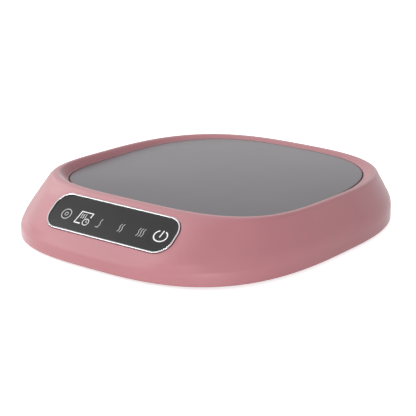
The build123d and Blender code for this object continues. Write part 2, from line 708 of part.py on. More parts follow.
def shield_screws():
    one = screw(SHIELD_SCREW_RADIUS, SHIELD_SCREW_LENGTH, SHIELD_HEAD_RADIUS, SHIELD_HEAD_HEIGHT)
    return [Pos(x, y, SHIELD_Z) * one for (x, y), _ in shield_ears()]


def thermistor():
    return upright(SENSOR_RADIUS, SENSOR_PLACE, SPREADER_Z - SENSOR_HEIGHT, SPREADER_Z)


def lying(radius, length):
    """Cylinder along X, centred."""
    return Rot(0, 90, 0) * Cylinder(radius, length)


def thermal_fuse():
    x, y = CUTOUT_PLACE
    return Pos(x, y, SHIELD_Z - CUTOUT_RADIUS) * lying(CUTOUT_RADIUS, CUTOUT_LENGTH)


def fuse_clip():
    """Strap round the thermal fuse, with a foot on the shield at each side."""
    x, y = CUTOUT_PLACE
    outer = CUTOUT_RADIUS + CLIP_THICKNESS
    below = (Align.CENTER, Align.CENTER, Align.MAX)
    seat = Pos(0, 0, CUTOUT_RADIUS)
    strap = lying(outer, CLIP_WIDTH) + [
        seat * Box(CLIP_WIDTH, 2 * outer, CUTOUT_RADIUS, align=below),
        seat * Box(CLIP_WIDTH, 2 * (outer + CLIP_FOOT), CLIP_THICKNESS, align=below),
    ]
    strap -= [
        lying(CUTOUT_RADIUS, CUTOUT_LENGTH),
        seat * Box(CLIP_WIDTH, 2 * CUTOUT_RADIUS, CUTOUT_RADIUS, align=below),
        seat * Box(CLIP_WIDTH, 2 * outer, outer, align=(Align.CENTER, Align.CENTER, Align.MIN)),
    ]
    return Pos(x, y, SHIELD_Z - CUTOUT_RADIUS) * strap


# ---------------------------------------------------------------------------
# Control panel
# ---------------------------------------------------------------------------
def lens_pad(margin, bottom, top):
    """Block with the lens's outline, grown by a margin."""
    return pad(LENS_HALF_LENGTH + margin, LENS_HALF_HEIGHT + margin, LENS_CORNER + margin, bottom, top)


def key_pad(place, margin, bottom, top):
    return pad(KEY_HALF_WIDTH + margin, KEY_HALF_HEIGHT + margin, KEY_CORNER + margin, bottom, top, place)


def panel_bezel():
    ring = lens_pad(BEZEL_WIDTH, LENS_UNDER, BEZEL_PROUD) - lens_pad(BEZEL_CLEARANCE, LENS_UNDER, BEZEL_PROUD)
    top = SLOPE_PLANE.offset(BEZEL_PROUD)
    edges = [edge for edge in ring.edges() if abs(top.to_local_coords(edge.center()).Z) < BEZEL_CLEARANCE]
    return chamfer(edges, BEZEL_EDGE)


def panel_lens():
    lens = lens_pad(0.0, LENS_UNDER, LENS_TOP)
    for place in KEY_PLACES.values():
        lens -= key_pad(place, KEY_GAP, LENS_UNDER, LENS_TOP)
    return lens


def panel_key(place):
    """Key cap flush with the lens, with a skirt under the lens that keeps it in."""
    skirt_top = LENS_UNDER - KEY_SKIRT_CLEARANCE
    cap = key_pad(place, 0.0, skirt_top, LENS_TOP)
    return cap + key_pad(place, KEY_SKIRT, skirt_top - KEY_SKIRT_THICKNESS, skirt_top)


def plunger(place):
    """Switch plunger, from the key's skirt down into its switch."""
    top = LENS_UNDER - KEY_SKIRT_CLEARANCE - KEY_SKIRT_THICKNESS
    return peg(PLUNGER_RADIUS, place, SWITCH_TOP - PLUNGER_DEPTH, top)


def tact_switches():
    switches = []
    for place in KEY_PLACES.values():
        body = on_slope(block((2 * SWITCH_HALF_SIDE, 2 * SWITCH_HALF_SIDE, SWITCH_HEIGHT), place, FRAME_BACK))
        well_foot = SWITCH_TOP - PLUNGER_DEPTH - KEY_TRAVEL - SWITCH_WELL_MARGIN
        switches.append(body - peg(PLUNGER_RADIUS + PLUNGER_CLEARANCE, place, well_foot, SWITCH_TOP))
    return switches


def light_box():
    """White frame in the window that keeps each lamp's light under its own mark."""
    frame = lens_pad(-LENS_LEDGE - LIGHT_WALL_CLEARANCE, FRAME_BACK, LENS_UNDER)
    wells = [
        key_pad(place, KEY_SKIRT + LIGHT_WALL_CLEARANCE, FRAME_BACK, LENS_UNDER)
        for place in KEY_PLACES.values()
    ]
    return frame - wells - [peg(LIGHT_HOLE_RADIUS, place, FRAME_BACK, LENS_UNDER) for place in LIGHT_PLACES]


def indicator_leds():
    size = (2 * LED_HALF_SIDE, 2 * LED_HALF_SIDE, LED_HEIGHT)
    return [on_slope(block(size, place, FRAME_BACK)) for place in LIGHT_PLACES]


def panel_board():
    board = pad(PANEL_BOARD_HALF_LENGTH, PANEL_BOARD_HALF_HEIGHT, BOARD_CORNER, PANEL_BOARD_BACK, FRAME_BACK)
    for side in (1, -1):
        hole = PANEL_SCREW_RADIUS + LIGHT_WALL_CLEARANCE
        board -= peg(hole, (side * PANEL_SCREW_X, 0), PANEL_BOARD_BACK, FRAME_BACK)
    return board


def panel_screws():
    one = screw(PANEL_SCREW_RADIUS, PANEL_SCREW_LENGTH, PANEL_HEAD_RADIUS, PANEL_HEAD_HEIGHT)
    return [on_slope(Pos(side * PANEL_SCREW_X, 0, PANEL_BOARD_BACK) * one) for side in (1, -1)]


def panel_ribbon():
    """Flat cable from the back of the panel board, along the base, to the power board."""
    start = SLOPE_PLANE.from_local_coords(Vector(0, RIBBON_UP_SLOPE, PANEL_BOARD_BACK))
    inward = -SLOPE_PLANE.z_dir
    low_z = COVER_TOP_Z + RIBBON_CLEARANCE
    drop = (start.Z - low_z) / -inward.Z
    corner = start + inward * drop
    board_edge = BOARD_Y - BOARD_LENGTH / 2
    rise_y = board_edge - RIBBON_RADIUS
    top_z = BOARD_TOP_Z + RIBBON_CLEARANCE
    path = FilletPolyline(
        (start.Y, start.Z),
        (corner.Y, low_z),
        (rise_y - 2 * RIBBON_RADIUS, low_z),
        (rise_y, top_z),
        (board_edge + RIBBON_WIDTH, top_z),
        radius=RIBBON_RADIUS,
    )
    strip = Plane.YZ * trace(path, line_width=RIBBON_THICKNESS)
    return extrude(strip, amount=RIBBON_WIDTH / 2, dir=(1, 0, 0), both=True)


def ribbon_plug():
    """Low socket on the power board that the ribbon ends in."""
    y = BOARD_Y - BOARD_LENGTH / 2 + RIBBON_WIDTH
    size = (RIBBON_WIDTH + 2 * RIBBON_CLEARANCE, RIBBON_PLUG_LENGTH, RIBBON_PLUG_HEIGHT)
    return block(size, (0, y + RIBBON_PLUG_LENGTH / 2), BOARD_TOP_Z)


# ---------------------------------------------------------------------------
# Power board
# ---------------------------------------------------------------------------
def board_posts():
    x = BOARD_WIDTH / 2 - POST_INSET
    y = BOARD_LENGTH / 2 - POST_INSET
    return [(sx * x, BOARD_Y + sy * y) for sx in (1, -1) for sy in (1, -1)]


def on_board(place):
    return (place[0], BOARD_Y + place[1])


def power_board():
    board = block((BOARD_WIDTH, BOARD_LENGTH, BOARD_THICKNESS), (0, BOARD_Y), BOARD_Z)
    for place in board_posts():
        board -= upright(BOARD_SCREW_RADIUS + LIGHT_WALL_CLEARANCE, place, BOARD_Z, BOARD_TOP_Z)
    return board


def board_screws():
    one = screw(BOARD_SCREW_RADIUS, BOARD_SCREW_LENGTH, BOARD_HEAD_RADIUS, BOARD_HEAD_HEIGHT)
    return [Pos(x, y, BOARD_TOP_Z) * Rot(180, 0, 0) * one for x, y in board_posts()]


def dropper_capacitor():
    case = block(CAPACITOR_SIZE, on_board(CAPACITOR_PLACE), BOARD_TOP_Z)
    return fillet(case.edges().filter_by(Axis.Z), CASE_ROUND)


def terminal_block():
    """Two-way terminal whose wire mouths face the gland."""
    x, y = on_board(TERMINAL_PLACE)
    body = block(TERMINAL_SIZE, (x, y), BOARD_TOP_Z)
    length = TERMINAL_SIZE[1]
    for side in (1, -1):
        mouth = Pos(x + side * TERMINAL_SIZE[0] / 4, y, BOARD_TOP_Z + TERMINAL_SIZE[2] / 2)
        body -= mouth * Rot(-90, 0, 0) * Cylinder(
            TERMINAL_MOUTH, length, align=(Align.CENTER, Align.CENTER, Align.MIN)
        )
    return body


def heat_sink():
    return block(SINK_SIZE, on_board(TRIAC_PLACE), BOARD_TOP_Z)


def triac():
    return block(TRIAC_SIZE, on_board(TRIAC_PLACE), BOARD_TOP_Z + SINK_SIZE[2])


def smoothing_capacitor():
    return upright(SMOOTHING_RADIUS, on_board(SMOOTHING_PLACE), BOARD_TOP_Z, BOARD_TOP_Z + SMOOTHING_HEIGHT)


def mains_fuse():
    x, y = on_board(FUSE_PLACE)
    cap_radius = FUSE_RADIUS + FUSE_CAP_WALL
    tube = lying(FUSE_RADIUS, FUSE_LENGTH)
    for side in (1, -1):
        tube += Pos(side * (FUSE_LENGTH - FUSE_CAP) / 2, 0, 0) * lying(cap_radius, FUSE_CAP)
    return Pos(x, y, BOARD_TOP_Z + cap_radius) * tube


def heater_leads():
    return [upright(LEAD_RADIUS, place, BOARD_TOP_Z, FILM_Z) for place in lead_places()]


# ---------------------------------------------------------------------------
# Cord gland
# ---------------------------------------------------------------------------
def cord_gland():
    """Rubber grommet whose groove grips the wall."""
    inner_face = GLAND_SEAT_Y - GLAND_PAD_THICKNESS
    gland = along_y(GLAND_NECK, inner_face - GLAND_LIP_THICKNESS, GLAND_FACE_Y)
    gland += along_y(GLAND_FLANGE, GLAND_SEAT_Y, GLAND_FACE_Y)
    gland += along_y(GLAND_LIP, inner_face - GLAND_LIP_THICKNESS, inner_face)
    return gland - along_y(GLAND_BORE, inner_face - GLAND_LIP_THICKNESS, GLAND_FACE_Y)


# ---------------------------------------------------------------------------
# One file for each sub-part
# ---------------------------------------------------------------------------
def write(name, parts):
    solids = parts if isinstance(parts, list) else [parts]
    shape = solids[0] if len(solids) == 1 else Compound(children=solids)
    export_step(shape, f"parts/{name}.step")


write("upper_housing", upper_housing())
write("base_cover", base_cover())
write("rubber_feet", rubber_feet())
write("housing_screws", housing_screws())
write("heating_plate", heating_plate())
write("plate_gasket", plate_gasket())
write("heat_spreader", heat_spreader())
write("heating_film", heating_film())
write("insulation_pad", insulation_pad())
write("heat_shield", heat_shield())
write("shield_screws", shield_screws())
write("thermistor", thermistor())
write("thermal_fuse", thermal_fuse())
write("fuse_clip", fuse_clip())
write("panel_bezel", panel_bezel())
write("panel_lens", panel_lens())
for key, middle in KEY_PLACES.items():
    write(f"{key}_key", panel_key(middle))
    write(f"{key}_plunger", plunger(middle))
write("tact_switches", tact_switches())
write("light_box", light_box())
write("indicator_leds", indicator_leds())
write("panel_board", panel_board())
write("panel_screws", panel_screws())
write("panel_ribbon", panel_ribbon())
write("ribbon_plug", ribbon_plug())
write("power_board", power_board())
write("board_screws", board_screws())
write("dropper_capacitor", dropper_capacitor())
write("terminal_block", terminal_block())
write("heat_sink", heat_sink())
write("triac", triac())
write("smoothing_capacitor", smoothing_capacitor())
write("mains_fuse", mains_fuse())
write("heater_leads", heater_leads())
write("cord_gland", cord_gland())
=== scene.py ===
from math import acos, cos, pi, radians, sin, sqrt, tan

import bmesh
import bpy
import numpy as np
from mathutils import Matrix, Vector


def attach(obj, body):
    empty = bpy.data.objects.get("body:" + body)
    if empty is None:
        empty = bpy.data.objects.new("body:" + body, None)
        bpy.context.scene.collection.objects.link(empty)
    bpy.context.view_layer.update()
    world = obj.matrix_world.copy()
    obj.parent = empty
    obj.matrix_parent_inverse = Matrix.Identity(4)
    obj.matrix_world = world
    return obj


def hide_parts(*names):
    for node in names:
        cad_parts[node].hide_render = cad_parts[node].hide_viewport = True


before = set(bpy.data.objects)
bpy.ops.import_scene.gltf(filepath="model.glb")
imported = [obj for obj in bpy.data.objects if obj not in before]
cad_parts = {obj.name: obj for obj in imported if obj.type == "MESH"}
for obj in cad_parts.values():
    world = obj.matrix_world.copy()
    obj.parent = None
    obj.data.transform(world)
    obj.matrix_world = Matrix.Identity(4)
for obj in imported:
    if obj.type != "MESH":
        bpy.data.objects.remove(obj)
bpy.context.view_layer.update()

MM = 0.001

# ---------------------------------------------------------------------------
# Sizes of the mug warmer, in millimetres, in the part's own frame
# ---------------------------------------------------------------------------
# Housing, outside
BASE_HALF_WIDTH = 67.0
BASE_HALF_LENGTH = 75.9
BASE_WIDEST_Y = 5.4
BOTTOM_Z = 1.2
BAND_Z = 6.2
BOTTOM_ROUND = 0.7
PLATE_Z = 19.9
CREST_Z = 22.2
LIP_TILT = 0.0233
WALL_SLOPE = 63.0
WALL_ARC = 12.0
CREST_RADIUS = 2.0
FRONT_SLOPE = 38.5
FRONT_CREASE_RADIUS = 2.5
CREASE_TANGENT = FRONT_CREASE_RADIUS * tan(radians(90 - FRONT_SLOPE) / 2)
FRONT_CREST_RADIUS = 6.3
CREST_WIDEST_Y = -0.45
CREST_FLAT = 0.3
BASE_POWERS = (3.0, 2.6)  # superellipse exponents, front and back
CREST_POWERS = (3.4, 2.87)
FLAT_HALF_WIDTH = 26.0
FLAT_FADE = 24.0
FLAT_RAMP = 4.0
WALL = 2.2
CAVITY_TOP_Z = 18.0
REACH_PASSES = 12
LIP_CURVE = (  # lip's inner wall, from the crest down to the ledge, as shares of rise and lean
    (1.0, 1.0),
    (0.992, 0.93),
    (0.972, 0.865),
    (0.94, 0.8),
    (0.88, 0.71),
    (0.8, 0.62),
    (0.65, 0.485),
    (0.5, 0.36),
    (0.35, 0.235),
    (0.2, 0.12),
    (0.09, 0.045),
    (0.0, 0.0),
)

# Heating plate
PLATE_HALF_WIDTH = 55.0
PLATE_REACHES = (44.8, 63.6)  # front and back, from the widest line
PLATE_POWERS = (3.6, 2.89)
PLATE_THICKNESS = 3.0
PLATE_EDGE = 0.4
PLATE_GAP = 0.5
LEDGE_DEPTH = 0.1
LEDGE_WIDTH = 0.6
SEAT_Z = 16.4
FLANGE_UNDER_Z = 14.2
FLANGE_WIDTH = 6.0
TUB_MARGIN = 3.4

# Control panel, in the slope's own plane: across, up the slope, outwards
PANEL_UP_SLOPE = 16.8
LENS_HALF_LENGTH = 31.0
LENS_HALF_HEIGHT = 7.9
LENS_CORNER = 6.3
LENS_TOP = -0.1
LENS_THICKNESS = 1.2
LENS_EDGE = 0.012
BEZEL_WIDTH = 0.6
BEZEL_PROUD = 0.35
BEZEL_CLEARANCE = 0.05
BEZEL_GROOVE = 0.29  # fine joint between frame and housing
BEZEL_ROUND = 0.1
BEZEL_POINTS = 64
KEY_HALF_WIDTH = 4.2
KEY_HALF_HEIGHT = 4.4
KEY_CORNER = 2.4
KEY_GAP = 0.03
KEY_SKIRT = 0.6
KEY_SKIRT_CLEARANCE = 0.02
TIMER_KEY = (-13.9, -0.6)
POWER_KEY = (24.2, -0.6)

# Printed marks, in the same plane
PRINT_THICKNESS = 0.03
PRINT_RAISE = 0.004
FINE_LINE = 0.22
THIN_LINE = 0.3
MARK_LINE = 0.6
BOLD_LINE = 0.52
RING_LAMP = (-23.1, -1.0)
RING_RADIUS = 2.25
DOT_RADIUS = 0.75
WAVE_FEET = ((-5.4, -3.3, 1), (4.5, -3.15, 2), (13.8, -2.95, 3))  # across, up, how many lines
WAVE_PITCH = 1.2
WAVE_HEIGHT = 3.75
WAVE_LEAN = 0.7
WAVE_SWING = 0.3
FOOT_LINE = ((-6.5, -3.45), (-5.0, -3.45))
SLANT = 0.16  # lean of the timer mark to the right, per millimetre of height
SLANT_PIVOT = -1.0
SQUARE_PATH = ((-10.95, -0.35), (-10.95, 1.7), (-16.85, 1.7), (-16.85, -3.7), (-13.9, -3.7))
STEAM_FOOT = (-15.6, -1.35)
STEAM_LINES = 3
STEAM_PITCH = 1.05
STEAM_HEIGHT = 2.2
STEAM_SWING = 0.2
CLOCK_CENTRE = (-12.0, -2.6)
CLOCK_RADIUS = 1.45
CLOCK_HANDS = (0.8, 0.6)  # upright and level
POWER_CENTRE = (24.6, -0.55)
POWER_RADII = (3.05, 2.45)
POWER_TURN = (118, 422)  # degrees, open at the top
POWER_BAR = ((24.95, 2.05), (24.45, -1.2))

# Underside and back
FOOT_RADIUS = 5.5
FOOT_HEIGHT = 2.3
FOOT_EDGE = 0.5
FOOT_DIMPLE = [(0.0, 0.15), (2.6, 0.15), (3.0, 0.0)]  # hollow under each foot: radius, height
FOOT_PLACES = ((43.0, 54.0), (43.0, -53.0))
SCREW_PLACES = ((48.0, 38.0), (47.0, -34.0))
SCREW_SEAT_Z = 4.0
SCREW_HEAD_RADIUS = 2.8
SCREW_HEAD_HEIGHT = 1.9
SCREW_HEAD_EDGE = 0.45
SCREW_RADIUS = 1.5
SCREW_LENGTH = 9.0
DRIVE_SPAN = 0.65
DRIVE_WIDTH = 0.9
DRIVE_DEPTH = 0.9
DRIVE_OVERRUN = 1.0
GLAND_Z = 9.0
GLAND_FACE_Y = 74.3
GLAND_SEAT_Y = 72.9
GLAND_INNER_Y = 69.6
GLAND_END_Y = 68.1
GLAND_FLANGE = 5.3
GLAND_NECK = 3.9
GLAND_LIP = 4.8
GLAND_BORE = 2.6
GLAND_CLEARANCE = 0.1
GLAND_ROUND = 0.35

# Fineness of the meshes
ROUND_POINTS = 384  # points round the housing and the plate
FOOTPRINT_SAMPLES = 40001
CORNER_POINTS = 24
KEY_CORNER_POINTS = 10
EASED_STEPS = 5
FILLET_POINTS = 5
BEVEL_RESOLUTION = 2
ARC_STEPS = 40
DOT_STEPS = 20
WAVE_STEPS = 24
STEAM_STEPS = 14
FOOT_POINTS = 72
SCREW_POINTS = 48
BOTTOM_STEPS = 6
BAND_RINGS = 4
CREASE_RINGS = 14
SLOPE_RINGS = 26
CREST_RINGS = 22
CAVITY_RINGS = 14
PLATE_EDGE_STEPS = 8
SHARP_DEGREES = 32.0
FLAT_COSINE = 0.9999
MERGE_DISTANCE = 1e-7  # metres

# Floor, light and camera. Lamps are in metres and watts, other lengths in millimetres
FLOOR_REACH = 3000.0
FLOOR_LIFT = 0.7
WORLD_STRENGTH = 0.47
LAMP_AIM = (-0.02, -0.02, 0.012)
LAMPS = (  # name, place, side, power
    ("right softbox", (0.337, -0.388, 0.06), 0.1, 0.88),
    ("left softbox", (-0.9, 0.2, 0.7), 0.3, 3.6),
    ("front softbox", (-0.55, -0.45, 0.5), 0.4, 3.4),
)
CAMERA_AIM = (-0.64, -0.94, 7.03)
CAMERA_DIRECTION = (0.5812, -0.7566, 0.2995)
CAMERA_DISTANCE = 593.8
CAMERA_LENS = 121.8
CAMERA_SENSOR = 36.0
CAMERA_CLIP = (0.01, 20.0)  # metres


# ---------------------------------------------------------------------------
# Outlines and wall profile of the housing
# ---------------------------------------------------------------------------
def fade(value):
    """Smooth step from 0 to 1."""
    value = np.clip(value, 0.0, 1.0)
    return value * value * (3 - 2 * value)


def outline(angles, half_width, front, back, powers, widest_y, flat=0.0):
    """Closed outline whose front and back halves are superellipses of their own."""
    across, along = np.cos(angles), np.sin(angles)
    behind = along >= 0
    power = np.where(behind, powers[1], powers[0])
    reach = np.where(behind, back, front)
    x = half_width * np.sign(across) * np.abs(across) ** (2 / power)
    y = reach * np.sign(along) * np.abs(along) ** (2 / power)
    kept = 1 - flat * (1 - fade((np.abs(x) - FLAT_HALF_WIDTH) / FLAT_FADE))
    y = np.where(behind, y, -(front - (front + y) * kept))
    return np.stack([x, y + widest_y], axis=1)


def even_angles(count):
    """Angles that space the points of the footprint evenly."""
    fine = np.linspace(0, 2 * pi, FOOTPRINT_SAMPLES)
    front = BASE_HALF_LENGTH + BASE_WIDEST_Y
    back = BASE_HALF_LENGTH - BASE_WIDEST_Y
    points = outline(fine, BASE_HALF_WIDTH, front, back, BASE_POWERS, BASE_WIDEST_Y)
    steps = np.hypot(*np.diff(points, axis=0).T)
    lengths = np.concatenate([[0.0], np.cumsum(steps)])
    return np.interp(np.arange(count) * lengths[-1] / count, lengths, fine)


ANGLES = even_angles(ROUND_POINTS)


def bottom_inset(z):
    height = z - BOTTOM_Z
    if height >= BOTTOM_ROUND:
        return 0.0
    return BOTTOM_ROUND - sqrt(BOTTOM_ROUND**2 - (BOTTOM_ROUND - height) ** 2)


def leaning_inset(rise, radius, slope_degrees):
    """Inset of a wall that bends from upright, by an arc, into a straight slope."""
    bend = radians(90 - slope_degrees)
    arc_rise = radius * sin(bend)
    if rise <= 0:
        return 0.0
    if rise < arc_rise:
        return radius - sqrt(radius**2 - rise**2)
    return radius * (1 - cos(bend)) + (rise - arc_rise) * tan(bend)


def side_inset(z):
    return bottom_inset(z) + leaning_inset(z - BAND_Z, WALL_ARC, WALL_SLOPE)


def front_inset(z):
    rise = z - BAND_Z + CREASE_TANGENT
    return bottom_inset(z) + leaning_inset(rise, FRONT_CREASE_RADIUS, FRONT_SLOPE)


def crest_offset(drop, radius, slope_degrees):
    """Distance outside the crest's line at a drop below it, on the rounding."""
    return radius * sin(acos(1 - min(drop, radius * (1 - cos(radians(slope_degrees)))) / radius))


def rise_share(level):
    return min(1.0, max(0.0, (level - BAND_Z) / (CREST_Z - BAND_Z)))


def front_reach(level):
    """Where the straight slope meets a tilted section, measured from the origin."""
    reach = BASE_HALF_LENGTH
    for _ in range(REACH_PASSES):
        reach = BASE_HALF_LENGTH - front_inset(level + LIP_TILT * rise_share(level) * reach)
    return reach


def rounded_reach(reach_at, level, radius, slope_degrees):
    """A reach that follows the straight wall and then the crest's rounding."""
    arc_drop = radius * (1 - cos(radians(slope_degrees)))
    arc_level = CREST_Z - arc_drop
    if level <= arc_level:
        return reach_at(level)
    crest = reach_at(arc_level) - radius * sin(radians(slope_degrees))
    return crest + crest_offset(CREST_Z - level, radius, slope_degrees)


def wall_section(level, inset=0.0, front_extra=0.0):
    """Outline of the housing's outside at a level, moved inwards by inset."""
    share = rise_share(level)
    widest_y = BASE_WIDEST_Y + (CREST_WIDEST_Y - BASE_WIDEST_Y) * share
    crest = (CREST_RADIUS, WALL_SLOPE)
    half_width = rounded_reach(lambda z: BASE_HALF_WIDTH - side_inset(z), level, *crest)
    back = rounded_reach(lambda z: BASE_HALF_LENGTH - side_inset(z), level, *crest)
    front = rounded_reach(front_reach, level, FRONT_CREST_RADIUS, FRONT_SLOPE)
    powers = [low + (high - low) * share for low, high in zip(BASE_POWERS, CREST_POWERS)]
    flat = min(fade((level - BAND_Z) / FLAT_RAMP), fade((CREST_Z - level) / FLAT_RAMP))
    return outline(
        ANGLES,
        half_width - inset,
        front + widest_y - inset - front_extra,
        back - widest_y - inset,
        powers,
        widest_y,
        flat,
    )


def plate_section(margin):
    front, back = PLATE_REACHES
    half_width = PLATE_HALF_WIDTH + margin
    return outline(ANGLES, half_width, front + margin, back + margin, PLATE_POWERS, CREST_WIDEST_Y)


def ring_at(points, level, tilt=0.0):
    """Ring of points in space, on a plane that rises towards the front."""
    return np.column_stack([points, level - tilt * points[:, 1]])


def front_wall_extra(level):
    full = WALL / sin(radians(FRONT_SLOPE)) - WALL
    return full * float(fade((level - BAND_Z + FRONT_CREASE_RADIUS) / (2 * FRONT_CREASE_RADIUS)))


# ---------------------------------------------------------------------------
# Meshes
# ---------------------------------------------------------------------------
def mesh_object(name, vertices, faces):
    """Object at the origin from millimetre points."""
    mesh = bpy.data.meshes.new(name)
    mesh.from_pydata([tuple(v) for v in np.asarray(vertices) * MM], [], faces)
    mesh.validate()
    piece = bpy.data.objects.new(name, mesh)
    bpy.context.scene.collection.objects.link(piece)
    return piece


def turn_outwards(piece):
    """Merge doubles and turn every face outwards."""
    shape = bmesh.new()
    shape.from_mesh(piece.data)
    bmesh.ops.remove_doubles(shape, verts=shape.verts, dist=MERGE_DISTANCE)
    bmesh.ops.recalc_face_normals(shape, faces=shape.faces)
    shape.to_mesh(piece.data)
    shape.free()


def smooth(piece, flat_normal=None):
    """Smooth shading, broken at sharp edges and on the flats that face along a normal."""
    piece.data.set_sharp_from_angle(angle=radians(SHARP_DEGREES))
    for polygon in piece.data.polygons:
        flat = flat_normal is not None and abs(polygon.normal.dot(flat_normal)) >= FLAT_COSINE
        polygon.use_smooth = not flat


def freeze(piece):
    """Replace an object's mesh or curve by the result of its modifiers."""
    bpy.context.view_layer.update()
    graph = bpy.context.evaluated_depsgraph_get()
    made = bpy.data.meshes.new_from_object(piece.evaluated_get(graph), depsgraph=graph)
    made.name = piece.name
    if piece.type == "MESH":
        piece.modifiers.clear()
        piece.data = made
        return piece
    name = piece.name
    bpy.data.objects.remove(piece)
    plain = bpy.data.objects.new(name, made)
    bpy.context.scene.collection.objects.link(plain)
    return plain


def ring_surface(rings, close_round=False):
    """Quads between rings of equal length. close_round joins the last to the first."""
    count = len(rings[0])
    faces = []
    pairs = len(rings) if close_round else len(rings) - 1
    for row in range(pairs):
        low = row * count
        high = (row + 1) % len(rings) * count
        for index in range(count):
            after = (index + 1) % count
            faces.append((low + index, low + after, high + after, high + index))
    return np.concatenate(rings), faces


def rounded_rectangle(half_length, half_height, corner, points=CORNER_POINTS):
    """Corner points of a rounded rectangle, counter-clockwise."""
    made = []
    centres = ((1, 1, 0), (-1, 1, 90), (-1, -1, 180), (1, -1, 270))
    for side, end, start in centres:
        cx, cy = side * (half_length - corner), end * (half_height - corner)
        for step in range(points + 1):
            turn = radians(start + 90 * step / points)
            made.append((cx + corner * cos(turn), cy + corner * sin(turn)))
    return made


SLOPE = radians(FRONT_SLOPE)
PANEL_CENTRE = Vector(
    (0.0, -BASE_HALF_LENGTH + PANEL_UP_SLOPE * cos(SLOPE), BAND_Z + PANEL_UP_SLOPE * sin(SLOPE))
)
PANEL_NORMAL = Vector((0.0, -sin(SLOPE), cos(SLOPE)))
PANEL_FRAME = Matrix(
    (
        (1.0, 0.0, 0.0, PANEL_CENTRE.x * MM),
        (0.0, cos(SLOPE), -sin(SLOPE), PANEL_CENTRE.y * MM),
        (0.0, sin(SLOPE), cos(SLOPE), PANEL_CENTRE.z * MM),
        (0.0, 0.0, 0.0, 1.0),
    )
)
GLAND_FRAME = Matrix.Translation((0, 0, GLAND_Z * MM)) @ Matrix.Rotation(radians(-90), 4, "X")


def prism(name, points, bottom, top):
    """Closed prism on an outline, in millimetres."""
    count = len(points)
    vertices = [(x, y, bottom) for x, y in points] + [(x, y, top) for x, y in points]
    faces = [tuple(reversed(range(count))), tuple(range(count, 2 * count))]
    for index in range(count):
        after = (index + 1) % count
        faces.append((index, after, count + after, count + index))
    return mesh_object(name, vertices, faces)


def spun(name, profile, points=96):
    """Closed body of revolution about Z from (radius, height) pairs, in millimetres.
    A profile that starts and ends on the axis gives a solid, any other a ring."""
    turns = [2 * pi * step / points for step in range(points)]
    rings = [np.array([(r * cos(t), r * sin(t), z) for t in turns]) for r, z in profile]
    closed = profile[0][0] > 0 and profile[-1][0] > 0
    vertices, faces = ring_surface(rings, close_round=closed)
    piece = mesh_object(name, vertices, faces)
    turn_outwards(piece)
    return piece


def joined(name, pieces):
    """One object from several, all at the origin."""
    whole = bmesh.new()
    for piece in pieces:
        whole.from_mesh(piece.data)
        bpy.data.objects.remove(piece)
    made = mesh_object(name, [], [])
    whole.to_mesh(made.data)
    whole.free()
    smooth(made, flat_normal=PANEL_NORMAL)
    return made


def cut(piece, cutters):
    for cutter in cutters:
        boolean = piece.modifiers.new("cut", "BOOLEAN")
        boolean.operation = "DIFFERENCE"
        boolean.solver = "EXACT"
        boolean.object = cutter
    freeze(piece)
    for cutter in cutters:
        bpy.data.objects.remove(cutter)


# ---------------------------------------------------------------------------
# Materials
# ---------------------------------------------------------------------------
def colour(hex_code):
    """Linear colour from an sRGB hex code."""
    parts = [int(hex_code[index : index + 2], 16) / 255 for index in (0, 2, 4)]
    return tuple(p / 12.92 if p <= 0.04045 else ((p + 0.055) / 1.055) ** 2.4 for p in parts) + (1.0,)


def add(tree, kind, settings=None, links=None):
    """Add a node, set its properties and sockets, and link what comes in."""
    node = tree.nodes.new(kind)
    for key, value in (settings or {}).items():
        if isinstance(key, str) and hasattr(node, key):
            setattr(node, key, value)
        else:
            node.inputs[key].default_value = value
    for key, source in (links or {}).items():
        tree.links.new(source, node.inputs[key])
    return node


def material(name):
    made = bpy.data.materials.new(name)
    made.use_nodes = True
    tree = made.node_tree
    shader = tree.nodes["Principled BSDF"]
    place = add(tree, "ShaderNodeTexCoord").outputs["Object"]
    return made, tree, shader, place


def set_shader(shader, **values):
    for key, value in values.items():
        shader.inputs[key.replace("_", " ").title().replace("Ior", "IOR")].default_value = value


def noise_of(tree, place, size_mm, detail):
    scale = 1 / (size_mm * MM)
    noise = add(tree, "ShaderNodeTexNoise", {"Scale": scale, "Detail": detail}, {"Vector": place})
    return noise.outputs["Fac"]


def mottled(tree, place, first, second, patch_mm):
    """Slow change between two near colours, with patches of a given size."""
    noise = noise_of(tree, place, patch_mm, detail=3.0)
    ramp = add(tree, "ShaderNodeValToRGB", links={"Fac": noise})
    ramp.color_ramp.elements[0].position = 0.35
    ramp.color_ramp.elements[0].color = colour(first)
    ramp.color_ramp.elements[1].position = 0.65
    ramp.color_ramp.elements[1].color = colour(second)
    return ramp.outputs["Color"]


def grain(tree, place, shader, grain_mm, height_mm, strength):
    """Fine moulded or etched relief."""
    noise = noise_of(tree, place, grain_mm, detail=2.0)
    relief = {"Strength": strength, "Distance": height_mm * MM}
    bump = add(tree, "ShaderNodeBump", relief, {"Height": noise})
    tree.links.new(bump.outputs["Normal"], shader.inputs["Normal"])


def uneven_roughness(tree, place, shader, low, high, patch_mm):
    noise = noise_of(tree, place, patch_mm, detail=4.0)
    span = add(tree, "ShaderNodeMapRange", {"To Min": low, "To Max": high}, {"Value": noise})
    tree.links.new(span.outputs["Result"], shader.inputs["Roughness"])


def soft_touch_abs(name, first, second):
    """ABS with a soft-touch coat: satin, with a broad soft sheen."""
    made, tree, shader, place = material(name)
    tree.links.new(mottled(tree, place, first, second, patch_mm=40.0), shader.inputs["Base Color"])
    set_shader(shader, metallic=0.0, ior=1.5, sheen_weight=0.6, sheen_roughness=0.35)
    uneven_roughness(tree, place, shader, low=0.5, high=0.55, patch_mm=12.0)
    grain(tree, place, shader, grain_mm=0.35, height_mm=0.003, strength=0.2)
    return made


